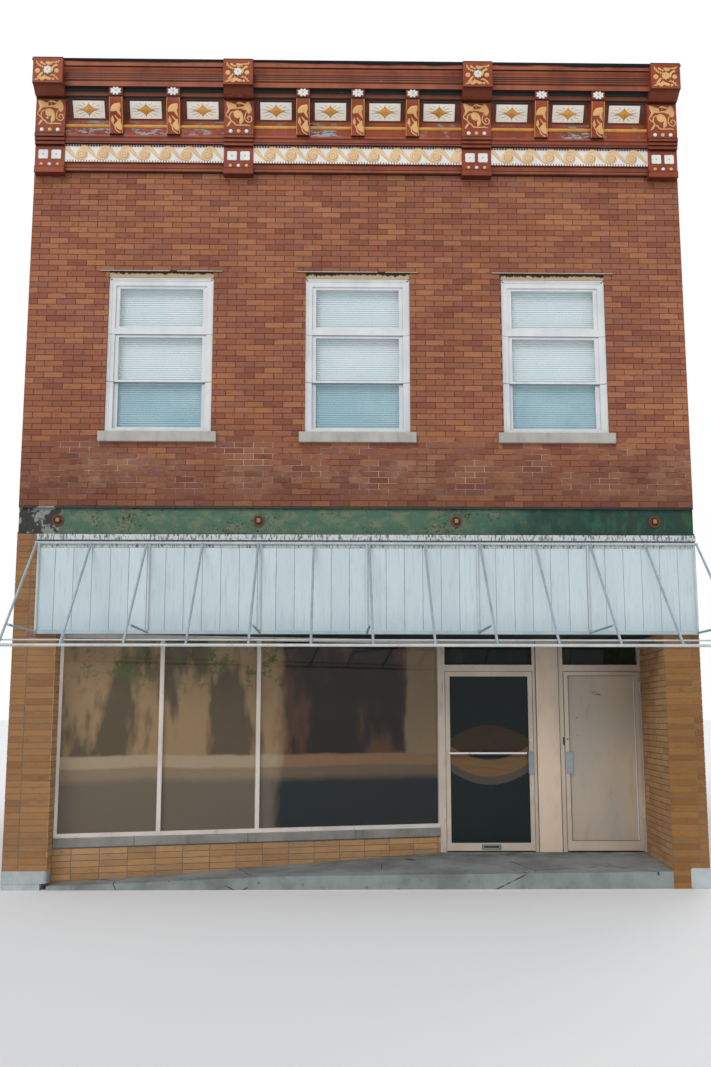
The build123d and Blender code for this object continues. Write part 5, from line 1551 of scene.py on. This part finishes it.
def small_bracket_reliefs():
    """A flower on each small block, leaves down its front and an ochre line on its edges."""
    flowers, leaves, hearts, lines, caps = Shape(), Shape(), Shape(), Shape(), Shape()
    for lo, hi in islands("small_brackets"):
        middle = (lo.x + hi.x) / 2
        half = (hi.x - lo.x) / 2
        add_box(caps, (lo.x, lo.y - BLOCK_CAP, hi.z - SMALL_BLOCK), (hi.x, lo.y + 0.002, hi.z - 0.001),
                0.002)
        block = Face((middle, lo.y - BLOCK_CAP, hi.z - SMALL_BLOCK / 2), (1, 0, 0))
        for i in range(8):
            turn = math.pi * (i + 0.5) / 4
            reach = (0.043 * math.cos(turn), 0.032 * math.sin(turn))
            petal = [(reach[0] + 0.024 * math.cos(turn) * math.cos(t)
                      - 0.0155 * math.sin(turn) * math.sin(t),
                      reach[1] + 0.022 * math.sin(turn) * math.cos(t)
                      + 0.0155 * math.cos(turn) * math.sin(t))
                     for t in np.linspace(0, 2 * math.pi, 14, endpoint=False)]
            add_dome(flowers, block, petal, 0.008)
        add_dome(flowers, block, circle(0, 0, 0.022, stretch=1.2), 0.009)
        add_dome(hearts, block, circle(0, 0, 0.012), 0.013)
        front = SCurve(middle, lo.y, hi.z - SMALL_BLOCK)
        for points in (CAP_LEAF, PEAR_LEAF, SIDE_LEAF):
            leaf(leaves, front, lowered(points), 0.008)
        vine(leaves, front, lowered(CROSS_STEM), 0.0085, 0.008)
        vine(leaves, front, lowered(LOW_STEM), 0.007, 0.008)
        for u in (-half + 0.0035, half - 0.0035):
            line = [(u, w, 0.0035) for w in np.linspace(SMALL_FOOT_LEVEL + 0.004,
                                                        hi.z - SMALL_BLOCK - 0.02, 24)]
            add_ribbon(lines, front, line, 0.0015, 1)
    caps.piece("small_bracket_caps", bracket_paint, "oxblood_paint")
    flowers.piece("small_flowers", relief_white, "cream_paint", smooth=50)
    leaves.piece("small_bracket_leaves", relief_ochre, "ochre_paint", smooth=50)
    hearts.piece("small_flower_hearts", heart_paint, "ochre_paint", smooth=50)
    lines.piece("small_bracket_lines", ochre_rod, "ochre_paint")


def roof_flashing():
    """A wavy lip of black flashing along the top of the crown and over the blocks."""
    lip = Shape()
    lo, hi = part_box("roof_edge")
    count = 254
    rows = []
    for i in range(count + 1):
        x = lo.x + (hi.x - lo.x) * i / count
        wave = 0.5 + 0.3 * math.sin(2.1 * x + 0.6) + 0.2 * math.sin(7.7 * x) + 0.08 * math.sin(23 * x)
        near = max(0.0, 1 - min(abs(x - bracket) for bracket in (-3.612, -1.402, 1.402, 3.612)) / 0.45)
        droop = 0.012 + 0.022 * min(max((x + 1.8) / 4, 0), 1)
        rows.append((x, lo.z - 0.004 - droop * wave * (1 - near), lo.z + 0.013 + 0.008 * wave))
    points = []
    for x, low, high in rows:
        points += [(x, lo.y - 0.002, low), (x, lo.y - 0.01, (low + high) / 2), (x, lo.y - 0.002, high)]
    faces = []
    for i in range(count):
        a = 3 * i
        faces += [(a, a + 3, a + 4, a + 1), (a + 1, a + 4, a + 5, a + 2)]
    lip.add(points, faces)
    for start, end in islands("big_brackets"):
        add_box(lip, (start.x - 0.001, start.y - 0.003, end.z - 0.004),
                (end.x + 0.001, lo.y + 0.03, end.z + 0.005),
                0.002)
    lip.piece("roof_flashing", flashing, "roofing")


# Doors
PROUD = 0.0025
STILE = 0.052
TOP_RAIL = 0.047
BOTTOM_RAIL = 0.115
BEVEL = 0.011
LINE = 0.005
LOCK_LEVEL = 1.545


def border(shape, box, y0, y1, thickness):
    """Four thin bars round the inside of a rectangle (x0, x1, z0, z1)."""
    x0, x1, z0, z1 = box
    for low, high in ((x0, x0 + thickness), (x1 - thickness, x1)):
        add_box(shape, (low, y0, z0), (high, y1, z1))
    for low, high in ((z0, z0 + thickness), (z1 - thickness, z1)):
        add_box(shape, (x0 + thickness, y0, low), (x1 - thickness, y1, high))


def shop_door_details():
    """Glazing seal, lock cylinder and the slot for letters of the shop door."""
    dark, bright = Shape(), Shape()
    glass_lo, glass_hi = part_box("shop_door_glass")
    border(dark, (glass_lo.x, glass_hi.x, glass_lo.z, glass_hi.z), glass_lo.y - 0.014, glass_lo.y, 0.006)
    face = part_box("shop_door")[0].y
    slot = min(islands("shop_door_fittings"), key=lambda box: box[0].z)
    border(dark, (slot[0].x - 0.004, slot[1].x + 0.004, slot[0].z - 0.004, slot[1].z + 0.004),
           face - 0.001, face + 0.001, LINE)
    # Painted shade: a dark box in the opening of the letter slot
    middle = (slot[0].z + slot[1].z) / 2
    add_box(dark, (slot[0].x + 0.02, slot[0].y - 0.003, middle - 0.009),
            (slot[1].x - 0.02, slot[0].y + 0.001, middle + 0.009))
    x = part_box("shop_door")[1].x - 0.03
    add_tube(bright, (x, face + 0.002, LOCK_LEVEL), (x, face - 0.006, LOCK_LEVEL), 0.016)
    add_tube(dark, (x, face - 0.004, LOCK_LEVEL), (x, face - 0.0065, LOCK_LEVEL), 0.005)
    bar = min(islands("shop_door_fittings"), key=lambda box: box[0].x)
    add_box(bright, (bar[0].x, bar[0].y - 0.001, bar[0].z), (bar[1].x, bar[0].y + 0.004, bar[1].z), 0.001)
    dark.piece("shop_door_seal", dark_rubber_and_shade, "beige_aluminium", "shop_door")
    bright.piece("shop_door_lock", bright_metal_and_highlight, "bright_metal", "shop_door")


def side_door_details():
    """Stiles and rails round a sunk sheet, with a dark bead of painted shade round it, a bright bevel of
    painted highlight, a lock and scratches.
    """
    stiles, dark, bevel, wide = Shape(), Shape(), Shape(), Shape()
    lo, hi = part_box("side_door")
    face = lo.y
    x0, x1 = lo.x + STILE, hi.x - STILE
    z0, z1 = lo.z + BOTTOM_RAIL, hi.z - TOP_RAIL
    front, back = face - PROUD, face + 0.001
    for low, high in ((lo.x + 0.001, x0), (x1, hi.x - 0.001)):
        add_box(stiles, (low, front, lo.z + 0.001), (high, back, hi.z - 0.001), 0.001)
    for low, high in ((lo.z + 0.001, z0), (z1, hi.z - 0.001)):
        add_box(stiles, (x0, front, low), (x1, back, high), 0.001)
    # Painted shade: a dark line round the sunk sheet
    border(dark, (x0, x1, z0, z1), face - 0.001, back, LINE)
    # Painted highlight: a bright strip along the bevel on the right
    add_box(bevel, (x1 - LINE - BEVEL, face - 0.002, z0 + LINE), (x1 - LINE, back, z1 - LINE))
    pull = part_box("side_door_pull")
    add_box(wide, (pull[0].x - 0.004, face - 0.0045, pull[0].z + 0.004),
            (pull[1].x + 0.012, back, pull[1].z - 0.004),
            0.001)
    add_tube(dark, (lo.x + 0.03, face, 1.56), (lo.x + 0.03, face - 0.006, 1.56), 0.009)
    for u, w, length, slant in ((2.9, 2.118, 0.05, 0.02), (2.93, 2.1, 0.07, -0.012),
                                (2.96, 2.11, 0.05, -0.02),
                                (2.69, 1.8, 0.02, 0.03), (2.7, 1.6, 0.015, 0.01)):
        points = [(u, w, 0.0015), (u + length / 2, w + slant / 2, 0.0025), (u + length, w + slant, 0.001)]
        add_ribbon(dark, Face((0, face, 0), (1, 0, 0)), points, 0.0008, 3)
    stiles.piece("side_door_stiles", beige_aluminium, "beige_aluminium", "side_door")
    dark.piece("side_door_shade_line_and_marks", dark_rubber_and_shade, "beige_aluminium", "side_door")
    bevel.piece("side_door_bevel", bright_metal_and_highlight, "bright_metal", "side_door")
    wide.piece("side_door_plate", pull_metal, "bright_metal", "side_door")


PIVOT_GAP = 0.012
PIVOT_LEVELS = (0.62, 2.12)
PIVOT_HEIGHT = 0.13
STRIKE_X = (2.53, 2.543)
STRIKE_Z = (1.49, 1.58)


def frame_details():
    """Dark strips of painted shade in the gaps beside the post and at the strike, and the pivots of both
    doors.
    """
    dark, pivots = Shape(), Shape()
    lo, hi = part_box("door_post")
    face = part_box("side_door_frame")[0].y
    for x in (lo.x, hi.x):
        add_box(dark, (x - 0.003, lo.y - 0.0005, lo.z + 0.002), (x + 0.003, face + 0.002, hi.z - 0.002))
    add_box(dark, (STRIKE_X[0], face - 0.001, STRIKE_Z[0]), (STRIKE_X[1], face + 0.002, STRIKE_Z[1]))
    for x in (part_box("shop_door")[0].x - PIVOT_GAP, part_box("side_door")[1].x + PIVOT_GAP):
        for z in PIVOT_LEVELS:
            add_box(pivots, (x - 0.009, face - 0.004, z), (x + 0.007, face + 0.001, z + PIVOT_HEIGHT),
                    0.002)
    dark.piece("frame_gap_shade", dark_rubber_and_shade, "beige_aluminium")
    pivots.piece("door_pivots", pale_aluminium, "beige_aluminium")


def rosette_nuts():
    """A dark washer ring and a pale square nut on each rosette of the beam."""
    rings, nuts = Shape(), Shape()
    for lo, hi in islands("beam_rosettes"):
        face = Face(((lo.x + hi.x) / 2, lo.y, (lo.z + hi.z) / 2), (1, 0, 0))
        radius = (hi.x - lo.x) / 2
        add_dome(rings, face, circle(0, 0, 0.62 * radius), 0.0015, rings=((1.0, 0.5), (0.9, 1.0)))
        half = 0.3 * radius
        add_box(nuts, face.point(-half, -half * 1.15, 0.012), face.point(half, half * 1.15, 0), 0.002)
    rings.piece("rosette_rings", dark_iron, "rusty_iron")
    nuts.piece("rosette_nuts", nut_paint, "rusty_iron")


# CAD nodes that show as they are, by finish
PAINTED = (
    (floor_concrete, "ground_floor"),
    (timber_floor, "upper_floor"),
    (roofing, "roof_deck"),
    (coping_tile, "parapet_coping"),
    (green_beam, "steel_beam"),
    (rusty_iron, "beam_rosettes"),
    (flashing, "roof_edge"),
    (foot_stone, "left_pier_base right_pier_base"),
    (grey_stone, "shopfront_sill"),
    (pale_aluminium, "shopfront_frame"),
    (beige_aluminium, "shop_door_frame side_door_frame shop_door"),
    (shop_glass, "shopfront_glass"),
    (transom_glass, "shop_transom_glass side_transom_glass"),
    (door_glass, "shop_door_glass"),
    (entry_concrete, "entry_slab"),
    (soffit_painted_shade, "entry_soffit"),
    (post_sheet, "door_post"),
    (door_sheet, "side_door rear_door"),
    (pull_metal, "shop_door_fittings side_door_pull"),
    (band_trim, "sign_band_trims"),
    (pipe_paint, "awning_rafters awning_braces"),
    (post_paint, "awning_rails awning_posts"),
    (white_frame, "window_frames window_sashes rear_window_frames"),
    (pane_glass, "window_glass"),
    (rear_glass, "rear_window_glass"),
    (pale_stone, "window_sills rear_window_sills"),
    (lintel_iron, "window_lintels rear_window_lintels"),
    (crown_paint, "cornice_crown"),
    (base_paint, "cornice_base"),
    (small_bracket_paint, "small_brackets"),
    (bracket_paint, "big_brackets"),
    (corona_paint, "cornice_corona"),
    (architrave_paint, "cornice_architrave"),
    (dark_panel_and_shade, "cornice_panels"),
    (ochre_rod, "cornice_rod"),
)

# Widths of rubbed edges, and the nodes that have them
RUBBED = (
    (0.002, "shopfront_frame shop_door_frame side_door_frame"),
    (0.003, "window_frames window_sashes"),
    (0.004, "door_post"),
    (0.006, "window_sills rear_window_sills"),
    (0.008, "shopfront_sill"),
    (0.012, "parapet_coping"),
    (0.015, "right_pier_base"),
    (0.02, "left_pier_base"),
)


def finish_nodes():
    """Finishes and rubbed edges of the CAD nodes that show as they are."""
    for finish, names in PAINTED:
        paint(finish, *names.split())
    for width, names in RUBBED:
        for name in names.split():
            soften(name, width)


# Studio: floor, light and camera


def studio_floor():
    """A pale floor, for the picture only."""
    ground = Shape()
    reach = 400
    ground.add([(-reach, -reach, 0), (reach, -reach, 0), (reach, reach, 0), (-reach, reach, 0)],
               [(0, 1, 2, 3)])
    mesh = bpy.data.meshes.new("studio_floor")
    mesh.from_pydata(ground.points, [], ground.faces)
    floor = Finish("studio_floor_paint", roughness=0.9, specular=0.1)
    floor.colour(floor.mix(floor.noise(0.6, 2, 0.5), (0.86, 0.865, 0.87), (0.88, 0.885, 0.89)))
    mesh.materials.append(floor.material)
    thing = bpy.data.objects.new("studio_floor", mesh)
    bpy.context.scene.collection.objects.link(thing)


def studio_world():
    """Soft light from all round, and a plain white backdrop seen past the part."""
    world = bpy.data.worlds.new("studio")
    bpy.context.scene.world = world
    world.use_nodes = True
    tree = world.node_tree
    tree.nodes.clear()
    rays = tree.nodes.new("ShaderNodeLightPath")
    light = tree.nodes.new("ShaderNodeBackground")
    light.inputs["Color"].default_value = (0.93, 0.96, 1.0, 1)
    light.inputs["Strength"].default_value = 0.62
    backdrop = tree.nodes.new("ShaderNodeBackground")
    backdrop.inputs["Color"].default_value = (1, 1, 1, 1)
    seen = rays.outputs["Is Camera Ray"]
    for name in ("Is Glossy Ray", "Is Transmission Ray"):
        either = tree.nodes.new("ShaderNodeMath")
        either.operation = "MAXIMUM"
        tree.links.new(seen, either.inputs[0])
        tree.links.new(rays.outputs[name], either.inputs[1])
        seen = either.outputs[0]
    pick = tree.nodes.new("ShaderNodeMixShader")
    tree.links.new(seen, pick.inputs[0])
    tree.links.new(light.outputs[0], pick.inputs[1])
    tree.links.new(backdrop.outputs[0], pick.inputs[2])
    out = tree.nodes.new("ShaderNodeOutputWorld")
    tree.links.new(pick.outputs[0], out.inputs[0])


def studio_lamps():
    """Two broad suns, in front and behind."""
    for name, turn, lift, strength in (("key_light", -24, 38, 1.14), ("back_light", 160, 40, 0.8)):
        lamp = bpy.data.lights.new(name, "SUN")
        lamp.energy = strength
        lamp.angle = math.radians(28)
        lamp.color = (1.0, 0.97, 0.93)
        holder = bpy.data.objects.new(name, lamp)
        holder.rotation_euler = Euler((math.radians(90 - lift), 0, math.radians(turn)))
        bpy.context.scene.collection.objects.link(holder)


def studio_camera():
    """The camera solved from the photo."""
    lens = bpy.data.cameras.new("camera")
    lens.sensor_width = SENSOR
    lens.sensor_fit = "AUTO"
    lens.lens = SENSOR * FOCAL_PIXELS / IMAGE_HEIGHT
    camera = bpy.data.objects.new("camera", lens)
    camera.location = CAMERA_PLACE
    camera.rotation_euler = Euler((math.pi / 2 + CAMERA_PITCH, 0, -CAMERA_YAW))
    bpy.context.scene.collection.objects.link(camera)
    bpy.context.scene.camera = camera
    bpy.context.scene.view_settings.view_transform = "Standard"


finish_nodes()
brick_walls()
buff_walls()
sign_boards()
window_blinds()
window_trims()
frieze()
plates()
big_bracket_reliefs()
small_bracket_reliefs()
roof_flashing()
shop_door_details()
side_door_details()
frame_details()
rosette_nuts()
studio_floor()
studio_world()
studio_lamps()
studio_camera()
